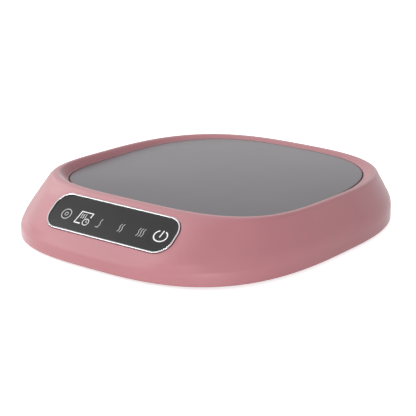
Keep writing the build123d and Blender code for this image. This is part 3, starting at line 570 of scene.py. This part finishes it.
def smoked_acrylic():
    """Dark lens with an even satin face: no grain, so that its reflection stays smooth."""
    made, tree, shader, place = material("smoked acrylic")
    clouded = mottled(tree, place, "222122", "1f1e1f", patch_mm=25.0)
    tree.links.new(clouded, shader.inputs["Base Color"])
    set_shader(shader, metallic=0.0, ior=1.4)
    uneven_roughness(tree, place, shader, low=0.16, high=0.18, patch_mm=20.0)
    return made


def etched_glass():
    """Grey glass, etched on top: even and satin, with a wide soft reflection."""
    made, tree, shader, place = material("etched grey glass")
    clouded = mottled(tree, place, "666267", "635f64", patch_mm=25.0)
    tree.links.new(clouded, shader.inputs["Base Color"])
    set_shader(shader, metallic=0.0, ior=1.33)
    uneven_roughness(tree, place, shader, low=0.23, high=0.26, patch_mm=9.0)
    grain(tree, place, shader, grain_mm=0.25, height_mm=0.002, strength=0.3)
    return made


def plain_plastic(name, first, second, roughness, grain_mm=0.5, height_mm=0.004):
    """Moulded plastic or rubber in one colour, slightly clouded, with a fine moulded grain."""
    made, tree, shader, place = material(name)
    tree.links.new(mottled(tree, place, first, second, patch_mm=6.0), shader.inputs["Base Color"])
    set_shader(shader, metallic=0.0, ior=1.5)
    uneven_roughness(tree, place, shader, roughness * 0.9, roughness * 1.1, patch_mm=3.0)
    grain(tree, place, shader, grain_mm, height_mm, strength=0.4)
    return made


def plain_metal(name, first, second, low, high):
    """Bare or plated metal with faint handling marks."""
    made, tree, shader, place = material(name)
    tree.links.new(mottled(tree, place, first, second, patch_mm=5.0), shader.inputs["Base Color"])
    set_shader(shader, metallic=1.0)
    uneven_roughness(tree, place, shader, low, high, patch_mm=4.0)
    grain(tree, place, shader, grain_mm=0.4, height_mm=0.002, strength=0.3)
    return made


PINK = soft_touch_abs("soft touch pink ABS", "b87a80", "b4767c")
PINK_BASE = plain_plastic("textured pink ABS", "b67a80", "b2767c", 0.65, 0.6, 0.02)
PLATE_GLASS = etched_glass()
CHROME = plain_metal("satin chrome on ABS", "dedee0", "d9d9db", 0.05, 0.07)
SMOKE = smoked_acrylic()
MARK_GREY = plain_plastic("grey screen print", "cbcccd", "c6c7c8", 0.5, 0.3, 0.002)
MARK_WHITE = plain_plastic("white screen print", "f0f0f0", "ebebeb", 0.5, 0.3, 0.002)
GASKET = plain_plastic("black silicone", "191617", "151213", 0.6)
FOOT_RUBBER = plain_plastic("dark grey rubber", "3b3a3c", "343335", 0.75, 0.5, 0.01)
GLAND_RUBBER = plain_plastic("dark grey PVC", "3f3e40", "39383a", 0.55, 0.5, 0.006)
STEEL = plain_metal("zinc plated steel", "b4b5b6", "a8a9ab", 0.28, 0.4)
ALUMINIUM = plain_metal("mill finish aluminium", "d8d9da", "cdced0", 0.3, 0.42)
POLYIMIDE = plain_plastic("amber polyimide film", "b8741f", "a9661a", 0.25)
FELT = plain_plastic("white ceramic felt", "dedad2", "d2cdc3", 0.95, 0.4, 0.05)
EPOXY = plain_plastic("black epoxy", "242325", "1f1e20", 0.35)
CERAMIC = plain_plastic("white glazed ceramic", "e6e3da", "dfdbd0", 0.2)
NYLON_WHITE = plain_plastic("white nylon", "e8e8e6", "e1e1df", 0.45)
NYLON_BLACK = plain_plastic("black nylon", "222224", "1c1c1e", 0.5)
LED_CLEAR = plain_plastic("clear epoxy lamp", "f0efe8", "eae8de", 0.15)
SOLDER_MASK = plain_plastic("green solder mask", "1d5c33", "195430", 0.3)
RIBBON = plain_plastic("grey PVC cable", "b9babb", "b0b1b3", 0.5)
CASE_YELLOW = plain_plastic("yellow film capacitor case", "d9a92c", "d0a027", 0.35)
SLEEVE_BLUE = plain_plastic("blue PVC sleeve", "2b4f96", "27488c", 0.3)
TERMINAL_GREEN = plain_plastic("green polyamide", "2f8f52", "2a874c", 0.45)
FUSE_GLASS = plain_plastic("clear fuse glass", "dfe3e3", "d8dcdc", 0.1)
LEAD_RED = plain_plastic("red silicone sleeve", "b03030", "a52b2b", 0.5)


def dress(piece, finish):
    piece.data.materials.clear()
    piece.data.materials.append(finish)


NODE_FINISHES = {
    "base_cover": PINK_BASE,
    "plate_gasket": GASKET,
    "heat_spreader": ALUMINIUM,
    "heating_film": POLYIMIDE,
    "insulation_pad": FELT,
    "heat_shield": STEEL,
    "shield_screws": STEEL,
    "thermistor": EPOXY,
    "thermal_fuse": CERAMIC,
    "fuse_clip": STEEL,
    "timer_plunger": NYLON_WHITE,
    "power_plunger": NYLON_WHITE,
    "tact_switches": NYLON_BLACK,
    "light_box": NYLON_WHITE,
    "indicator_leds": LED_CLEAR,
    "panel_board": SOLDER_MASK,
    "panel_screws": STEEL,
    "panel_ribbon": RIBBON,
    "ribbon_plug": NYLON_WHITE,
    "power_board": SOLDER_MASK,
    "board_screws": STEEL,
    "dropper_capacitor": CASE_YELLOW,
    "terminal_block": TERMINAL_GREEN,
    "heat_sink": ALUMINIUM,
    "triac": NYLON_BLACK,
    "smoothing_capacitor": SLEEVE_BLUE,
    "mains_fuse": FUSE_GLASS,
    "heater_leads": LEAD_RED,
}
for node_name, finish in NODE_FINISHES.items():
    dress(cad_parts[node_name], finish)


def finish_piece(piece, body, finish, node_name=None):
    dress(piece, finish)
    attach(piece, body)
    if node_name:
        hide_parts(node_name)


# ---------------------------------------------------------------------------
# Upper housing
# ---------------------------------------------------------------------------
def housing_rings():
    """Sections of the shell in order: up the outside, over the lip, down the tub and back inside."""
    crease_low = BAND_Z - CREASE_TANGENT
    crease_high = crease_low + FRONT_CREASE_RADIUS * sin(radians(90 - FRONT_SLOPE))
    roll_low = CREST_Z - FRONT_CREST_RADIUS * (1 - cos(radians(FRONT_SLOPE)))
    foot = BOTTOM_Z + BOTTOM_ROUND
    turns = [pi / 2 * step / BOTTOM_STEPS for step in range(BOTTOM_STEPS)]
    levels = [BOTTOM_Z + BOTTOM_ROUND * (1 - cos(turn)) for turn in turns]
    levels += list(np.linspace(foot, crease_low, BAND_RINGS)[:-1])
    levels += list(np.linspace(crease_low, crease_high, CREASE_RINGS)[:-1])
    levels += list(np.linspace(crease_high, roll_low, SLOPE_RINGS)[:-1])
    shares = np.linspace(0, 1, CREST_RINGS)
    levels += [CREST_Z - (CREST_Z - roll_low) * (1 - share) ** 2 for share in shares]
    rings = [ring_at(wall_section(z), z, LIP_TILT * rise_share(z)) for z in levels]

    ledge = plate_section(PLATE_GAP + LEDGE_WIDTH)
    crest = wall_section(CREST_Z, CREST_FLAT)
    ledge_z = PLATE_Z - LEDGE_DEPTH
    for rise, lean in LIP_CURVE:
        level = ledge_z + (CREST_Z - ledge_z) * rise
        rings.append(ring_at(ledge + (crest - ledge) * lean, level, LIP_TILT * rise))
    rings.append(ring_at(plate_section(PLATE_GAP), ledge_z))
    rings.append(ring_at(plate_section(PLATE_GAP), SEAT_Z))
    rings.append(ring_at(plate_section(-FLANGE_WIDTH), SEAT_Z))
    rings.append(ring_at(plate_section(-FLANGE_WIDTH), FLANGE_UNDER_Z))
    rings.append(ring_at(plate_section(TUB_MARGIN), FLANGE_UNDER_Z))
    rings.append(ring_at(plate_section(TUB_MARGIN), CAVITY_TOP_Z))
    for z in np.linspace(CAVITY_TOP_Z, foot, CAVITY_RINGS):
        inside = wall_section(z, WALL, front_wall_extra(z))
        rings.append(ring_at(inside, z, LIP_TILT * rise_share(z)))
    rings.append(ring_at(wall_section(foot, WALL, front_wall_extra(foot)), BOTTOM_Z))
    return rings


def panel_cutter():
    rim = BEZEL_WIDTH + BEZEL_GROOVE
    sizes = (LENS_HALF_LENGTH, LENS_HALF_HEIGHT, LENS_CORNER)
    points = rounded_rectangle(*(size + rim for size in sizes))
    cutter = prism("panel_cutter", points, -2 * FRONT_CREST_RADIUS, FRONT_CREST_RADIUS)
    cutter.data.transform(PANEL_FRAME)
    return cutter


def gland_cutter(radius, front, back):
    cutter = spun("gland_cutter", [(0, front), (radius, front), (radius, back), (0, back)])
    cutter.data.transform(GLAND_FRAME)
    return cutter


def upper_housing():
    vertices, faces = ring_surface(housing_rings(), close_round=True)
    shell = mesh_object("housing_shell", vertices, faces)
    turn_outwards(shell)
    far = BASE_HALF_LENGTH + WALL
    cut(
        shell,
        [
            panel_cutter(),
            gland_cutter(GLAND_FLANGE + GLAND_CLEARANCE, GLAND_SEAT_Y, far),
            gland_cutter(GLAND_NECK + GLAND_CLEARANCE, GLAND_INNER_Y - WALL, far),
        ],
    )
    smooth(shell)
    finish_piece(shell, "body", PINK, "upper_housing")


# ---------------------------------------------------------------------------
# Heating plate
# ---------------------------------------------------------------------------
def heating_plate():
    under = PLATE_Z - PLATE_THICKNESS
    middle = plate_section(0) * 0.0
    rings = [ring_at(middle, PLATE_Z)]
    for step in range(PLATE_EDGE_STEPS + 1):
        turn = pi / 2 * step / PLATE_EDGE_STEPS
        section = plate_section(-PLATE_EDGE * (1 - sin(turn)))
        rings.append(ring_at(section, PLATE_Z - PLATE_EDGE * (1 - cos(turn))))
    rings.append(ring_at(plate_section(0), under))
    rings.append(ring_at(middle, under))
    vertices, faces = ring_surface(rings)
    plate = mesh_object("heating_plate_glass", vertices, faces)
    turn_outwards(plate)
    smooth(plate)
    finish_piece(plate, "body", PLATE_GLASS, "heating_plate")


# ---------------------------------------------------------------------------
# Strokes along a path: chrome frame and printed marks
# ---------------------------------------------------------------------------
def stroke_tree(name, finish):
    """Geometry tree that sweeps a rounded bar along the object's own curves."""
    tree = bpy.data.node_groups.new(name, "GeometryNodeTree")
    face = tree.interface
    face.new_socket("Path", in_out="INPUT", socket_type="NodeSocketGeometry")
    for label in ("Width", "Height", "Edge"):
        face.new_socket(label, in_out="INPUT", socket_type="NodeSocketFloat")
    face.new_socket("Bar", in_out="OUTPUT", socket_type="NodeSocketGeometry")
    given = add(tree, "NodeGroupInput").outputs
    sides = {"Width": given["Width"], "Height": given["Height"]}
    bar = add(tree, "GeometryNodeCurvePrimitiveQuadrilateral", links=sides)
    eased = add(
        tree,
        "GeometryNodeFilletCurve",
        {"mode": "POLY", "Count": FILLET_POINTS},
        {"Curve": bar.outputs["Curve"], "Radius": given["Edge"]},
    )
    swept = add(
        tree,
        "GeometryNodeCurveToMesh",
        {"Fill Caps": True},
        {"Curve": given["Path"], "Profile Curve": eased.outputs["Curve"]},
    )
    whole = add(tree, "GeometryNodeRealizeInstances", links={"Geometry": swept.outputs["Mesh"]})
    coated = add(
        tree, "GeometryNodeSetMaterial", {"Material": finish}, {"Geometry": whole.outputs["Geometry"]}
    )
    add(tree, "NodeGroupOutput", links={"Bar": coated.outputs["Geometry"]})
    return tree


def run_tree(piece, tree, **values):
    """Give a piece's tree its values, run it and keep the plain mesh."""
    modifier = piece.modifiers.new("shape", "NODES")
    modifier.node_group = tree
    for item in tree.interface.items_tree:
        if item.item_type == "SOCKET" and item.in_out == "INPUT" and item.name in values:
            modifier[item.identifier] = values[item.name]
    return freeze(piece)


def panel_stroke(name, paths, width, height, edge, level, finish):
    """Bar along paths in the panel's plane, its middle at a level above the slope."""
    line = bpy.data.curves.new(name, "CURVE")
    line.dimensions = "3D"
    for points, closed in paths:
        spline = line.splines.new("POLY")
        spline.points.add(len(points) - 1)
        for point, (x, y) in zip(spline.points, points):
            point.co = (x * MM, y * MM, level * MM, 1.0)
        spline.use_cyclic_u = closed
    path = bpy.data.objects.new(name, line)
    bpy.context.scene.collection.objects.link(path)
    tree = stroke_tree(name + " tree", finish)
    piece = run_tree(path, tree, Width=width * MM, Height=height * MM, Edge=edge * MM)
    turn_outwards(piece)
    piece.data.transform(PANEL_FRAME)
    smooth(piece, flat_normal=PANEL_NORMAL)
    return piece


def panel_bezel():
    middle = BEZEL_CLEARANCE + (BEZEL_WIDTH - BEZEL_CLEARANCE) / 2
    corner = LENS_CORNER + middle
    half_length, half_height = LENS_HALF_LENGTH + middle, LENS_HALF_HEIGHT + middle
    path = rounded_rectangle(half_length, half_height, corner, BEZEL_POINTS)
    low = LENS_TOP - LENS_THICKNESS
    ring = panel_stroke(
        "chrome_frame",
        [(path, True)],
        BEZEL_WIDTH - BEZEL_CLEARANCE,
        BEZEL_PROUD - low,
        BEZEL_ROUND,
        (BEZEL_PROUD + low) / 2,
        CHROME,
    )
    finish_piece(ring, "body", CHROME, "panel_bezel")


# ---------------------------------------------------------------------------
# Lens and marks
# ---------------------------------------------------------------------------
def sheet_with_windows(name, outer, windows, bottom, top, edge):
    """Flat sheet with rounded edges and openings, in the panel's plane."""
    shape = bpy.data.curves.new(name, "CURVE")
    shape.dimensions = "2D"
    shape.fill_mode = "BOTH"
    for points in [outer] + windows:
        spline = shape.splines.new("POLY")
        spline.points.add(len(points) - 1)
        for point, (x, y) in zip(spline.points, points):
            point.co = (x * MM, y * MM, 0.0, 1.0)
        spline.use_cyclic_u = True
    shape.extrude = ((top - bottom) / 2 - edge) * MM
    shape.bevel_depth = edge * MM
    shape.bevel_resolution = BEVEL_RESOLUTION
    shape.offset = -edge * MM
    piece = bpy.data.objects.new(name, shape)
    bpy.context.scene.collection.objects.link(piece)
    piece = freeze(piece)
    piece.data.transform(Matrix.Translation((0, 0, (top + bottom) / 2 * MM)))
    turn_outwards(piece)
    piece.data.transform(PANEL_FRAME)
    smooth(piece, flat_normal=PANEL_NORMAL)
    return piece


def window(place, margin):
    sizes = (KEY_HALF_WIDTH, KEY_HALF_HEIGHT, KEY_CORNER)
    points = rounded_rectangle(*(size + margin for size in sizes), KEY_CORNER_POINTS)
    return [(x + place[0], y + place[1]) for x, y in points]


def panel_lens():
    outer = rounded_rectangle(LENS_HALF_LENGTH, LENS_HALF_HEIGHT, LENS_CORNER)
    windows = [window(place, KEY_GAP) for place in (TIMER_KEY, POWER_KEY)]
    under = LENS_TOP - LENS_THICKNESS
    lens = sheet_with_windows("smoked_lens", outer, windows, under, LENS_TOP, LENS_EDGE)
    finish_piece(lens, "body", SMOKE, "panel_lens")


def panel_keys():
    """Key caps flush with the lens, each with a skirt under it."""
    under = LENS_TOP - LENS_THICKNESS - KEY_SKIRT_CLEARANCE
    for name, place in (("timer", TIMER_KEY), ("power", POWER_KEY)):
        face, foot = window(place, 0.0), window(place, KEY_SKIRT)
        cap = sheet_with_windows(name + "_cap", face, [], under, LENS_TOP, LENS_EDGE / 2)
        skirt = sheet_with_windows(name + "_skirt", foot, [], under - KEY_SKIRT, under, LENS_EDGE)
        key = joined(name + "_key_cap", [cap, skirt])
        finish_piece(key, name, SMOKE, name + "_key")


def arc(centre, radii, start, end, count=ARC_STEPS):
    """Points on an ellipse between two angles in degrees."""
    turns = [radians(start + (end - start) * step / count) for step in range(count + 1)]
    return [(centre[0] + radii[0] * cos(t), centre[1] + radii[1] * sin(t)) for t in turns]


def wave(foot, height, lean, swing, count=WAVE_STEPS):
    """One steam line: an S that rises from its foot and leans to the right."""
    points = []
    for step in range(count + 1):
        share = step / count
        x = foot[0] + lean * share + swing * sin(2 * pi * share)
        points.append((x, foot[1] + height * share))
    return points


def circle(centre, radius, count=ARC_STEPS):
    return arc(centre, (radius, radius), 0, 360, count)[:-1]


def slanted(points):
    return [(x + SLANT * (y - SLANT_PIVOT), y) for x, y in points]


def marks(name, strokes, body, finish):
    """Printed mark on the lens or a key, from groups of paths that share a line width."""
    level = LENS_TOP + PRINT_RAISE + PRINT_THICKNESS / 2
    pieces = [
        panel_stroke(name, paths, width, PRINT_THICKNESS, PRINT_THICKNESS / 4, level, finish)
        for paths, width in strokes
    ]
    finish_piece(joined(name, pieces), body, finish)


def indicator_marks():
    """Ring lamp and the three heat levels, of one, two and three steam lines."""
    ring = [(circle(RING_LAMP, RING_RADIUS), True)]
    dot = [(circle(RING_LAMP, DOT_RADIUS, DOT_STEPS), True)]
    waves = []
    for foot_x, foot_y, count in WAVE_FEET:
        for index in range(count):
            foot = (foot_x + WAVE_PITCH * index, foot_y)
            waves.append((wave(foot, WAVE_HEIGHT, WAVE_LEAN, WAVE_SWING), False))
    foot_line = [(FOOT_LINE, False)]
    marks("lit_marks", [(ring, THIN_LINE), (waves + foot_line + dot, FINE_LINE)], "body", MARK_GREY)


def timer_mark():
    """Leaning square with steam lines, opened at one corner for a small clock."""
    clock_x, clock_y = CLOCK_CENTRE
    upright, level = CLOCK_HANDS
    frame_path = [(slanted(SQUARE_PATH), False)]
    steam = []
    for index in range(STEAM_LINES):
        foot = (STEAM_FOOT[0] + STEAM_PITCH * index, STEAM_FOOT[1])
        steam.append((slanted(wave(foot, STEAM_HEIGHT, 0.0, STEAM_SWING, STEAM_STEPS)), False))
    face_ring = [(circle(CLOCK_CENTRE, CLOCK_RADIUS), True)]
    hands = [([(clock_x, clock_y + upright), CLOCK_CENTRE, (clock_x + level, clock_y)], False)]
    strokes = [(frame_path, MARK_LINE), (face_ring, THIN_LINE), (steam + hands, FINE_LINE)]
    marks("timer_mark", strokes, "timer", MARK_WHITE)


def power_mark():
    ring = [(arc(POWER_CENTRE, POWER_RADII, *POWER_TURN), False)]
    bar = [(POWER_BAR, False)]
    marks("power_mark", [(ring + bar, BOLD_LINE)], "power", MARK_WHITE)


# ---------------------------------------------------------------------------
# Feet, screws and cord gland
# ---------------------------------------------------------------------------
def repeat_tree(name, finish):
    """Geometry tree that sets one pattern piece on every point of the object."""
    tree = bpy.data.node_groups.new(name, "GeometryNodeTree")
    face = tree.interface
    face.new_socket("Places", in_out="INPUT", socket_type="NodeSocketGeometry")
    face.new_socket("Pattern", in_out="INPUT", socket_type="NodeSocketObject")
    face.new_socket("Pieces", in_out="OUTPUT", socket_type="NodeSocketGeometry")
    given = add(tree, "NodeGroupInput").outputs
    pattern = add(tree, "GeometryNodeObjectInfo", links={"Object": given["Pattern"]})
    placed = add(
        tree,
        "GeometryNodeInstanceOnPoints",
        links={"Points": given["Places"], "Instance": pattern.outputs["Geometry"]},
    )
    whole = add(tree, "GeometryNodeRealizeInstances", links={"Geometry": placed.outputs["Instances"]})
    coated = add(
        tree, "GeometryNodeSetMaterial", {"Material": finish}, {"Geometry": whole.outputs["Geometry"]}
    )
    add(tree, "NodeGroupOutput", links={"Pieces": coated.outputs["Geometry"]})
    return tree


def mirrored(places):
    return [(side * x, y) for x, y in places for side in (1, -1)]


def repeated(name, pattern, places, level, finish):
    points = mesh_object(name, [(x, y, level) for x, y in mirrored(places)], [])
    piece = run_tree(points, repeat_tree(name + " tree", finish), Pattern=pattern)
    bpy.data.objects.remove(pattern)
    smooth(piece)
    return piece


def eased_corner(radius, height, edge, outward, upward):
    """Profile points of a rounded corner of a turned piece."""
    made = []
    for step in range(EASED_STEPS + 1):
        turn = pi / 2 * step / EASED_STEPS
        across, down = edge * (1 - sin(turn)), edge * (1 - cos(turn))
        made.append((radius - outward * across, height - upward * down))
    return made


def rubber_feet():
    under = eased_corner(FOOT_RADIUS, 0.0, FOOT_EDGE, 1, -1)
    profile = FOOT_DIMPLE + under + [(FOOT_RADIUS, FOOT_HEIGHT), (0.0, FOOT_HEIGHT)]
    foot = spun("foot_pattern", profile, FOOT_POINTS)
    feet = repeated("foot_pads", foot, FOOT_PLACES, 0.0, FOOT_RUBBER)
    finish_piece(feet, "body", FOOT_RUBBER, "rubber_feet")


def housing_screws():
    low = -SCREW_HEAD_HEIGHT
    head = eased_corner(SCREW_HEAD_RADIUS, low, SCREW_HEAD_EDGE, 1, -1)
    profile = [(0.0, low)] + head + [(SCREW_HEAD_RADIUS, 0.0), (SCREW_RADIUS, 0.0)]
    profile += [(SCREW_RADIUS, SCREW_LENGTH), (0.0, SCREW_LENGTH)]
    screw = spun("screw_pattern", profile, SCREW_POINTS)
    span = DRIVE_SPAN * SCREW_HEAD_RADIUS
    half = DRIVE_WIDTH / 2
    bars = []
    for a, b in ((span, half), (half, span)):
        corners = [(-a, -b), (a, -b), (a, b), (-a, b)]
        bars.append(prism("drive", corners, low - DRIVE_OVERRUN, low + DRIVE_DEPTH))
    cut(screw, bars)
    screws = repeated("cover_screws", screw, SCREW_PLACES, SCREW_SEAT_Z, STEEL)
    finish_piece(screws, "body", STEEL, "housing_screws")


def cord_gland():
    face = GLAND_FACE_Y
    profile = [(GLAND_BORE, GLAND_END_Y), (GLAND_LIP, GLAND_END_Y), (GLAND_LIP, GLAND_INNER_Y)]
    profile += [(GLAND_NECK, GLAND_INNER_Y), (GLAND_NECK, GLAND_SEAT_Y), (GLAND_FLANGE, GLAND_SEAT_Y)]
    profile += list(reversed(eased_corner(GLAND_FLANGE, face, GLAND_ROUND, 1, 1)))
    profile += eased_corner(GLAND_BORE, face, GLAND_ROUND, -1, 1)
    gland = spun("cord_grommet", profile)
    gland.data.transform(GLAND_FRAME)
    smooth(gland)
    finish_piece(gland, "body", GLAND_RUBBER, "cord_gland")


upper_housing()
heating_plate()
panel_bezel()
panel_lens()
panel_keys()
indicator_marks()
timer_mark()
power_mark()
rubber_feet()
housing_screws()
cord_gland()


# ---------------------------------------------------------------------------
# Floor, light and camera
# ---------------------------------------------------------------------------
def seen_directly(tree):
    """1 for what the camera sees, also in a reflection or through glass, and 0 for diffuse light."""
    path = add(tree, "ShaderNodeLightPath").outputs
    seen = path["Is Camera Ray"]
    for kind in ("Is Glossy Ray", "Is Transmission Ray"):
        seen = add(tree, "ShaderNodeMath", {"operation": "MAXIMUM"}, {0: seen, 1: path[kind]}).outputs[0]
    return seen


def seen_as_white(name, base, lift):
    """Pale surface that shows as white, lifted for the camera alone, and keeps its shadow."""
    made, tree, shader, _ = material(name)
    set_shader(shader, roughness=0.9)
    shader.inputs["Base Color"].default_value = colour(base)
    shader.inputs["Emission Color"].default_value = colour("ffffff")
    product = {"operation": "MULTIPLY", 1: lift}
    lifted = add(tree, "ShaderNodeMath", product, {0: seen_directly(tree)})
    tree.links.new(lifted.outputs[0], shader.inputs["Emission Strength"])
    return made


def studio_floor():
    signs = ((-1, -1), (1, -1), (1, 1), (-1, 1))
    corners = [(x * FLOOR_REACH, y * FLOOR_REACH, 0) for x, y in signs]
    floor = mesh_object("studio_floor", corners, [(0, 1, 2, 3)])
    dress(floor, seen_as_white("studio_floor", "f4f4f4", FLOOR_LIFT))


def studio_world(strength):
    world = bpy.data.worlds.new("studio world")
    bpy.context.scene.world = world
    world.use_nodes = True
    tree = world.node_tree
    tree.nodes.clear()
    dim = add(tree, "ShaderNodeBackground", {"Color": colour("f4f5f7"), "Strength": strength})
    white = add(tree, "ShaderNodeBackground", {"Color": (1, 1, 1, 1), "Strength": 1.0})
    chosen = add(
        tree,
        "ShaderNodeMixShader",
        links={"Fac": seen_directly(tree), 1: dim.outputs[0], 2: white.outputs[0]},
    )
    add(tree, "ShaderNodeOutputWorld", links={"Surface": chosen.outputs[0]})


def softbox(name, place, side, power):
    lamp = bpy.data.lights.new(name, "AREA")
    lamp.shape = "RECTANGLE"
    lamp.size = side
    lamp.size_y = side
    lamp.energy = power
    holder = bpy.data.objects.new(name, lamp)
    holder.location = place
    holder.rotation_euler = (Vector(LAMP_AIM) - Vector(place)).to_track_quat("-Z", "Y").to_euler()
    bpy.context.scene.collection.objects.link(holder)


def studio_camera():
    lens = bpy.data.cameras.new("studio camera")
    lens.lens = CAMERA_LENS
    lens.sensor_width = CAMERA_SENSOR
    lens.clip_start, lens.clip_end = CAMERA_CLIP
    holder = bpy.data.objects.new("studio camera", lens)
    aim = Vector(CAMERA_AIM) * MM
    place = aim + Vector(CAMERA_DIRECTION) * CAMERA_DISTANCE * MM
    holder.location = place
    holder.rotation_euler = (aim - place).to_track_quat("-Z", "Y").to_euler()
    bpy.context.scene.collection.objects.link(holder)
    bpy.context.scene.camera = holder


studio_floor()
studio_world(WORLD_STRENGTH)
for lamp_name, lamp_place, lamp_side, lamp_power in LAMPS:
    softbox(lamp_name, lamp_place, lamp_side, lamp_power)
studio_camera()
bpy.context.scene.view_settings.view_transform = "Standard"
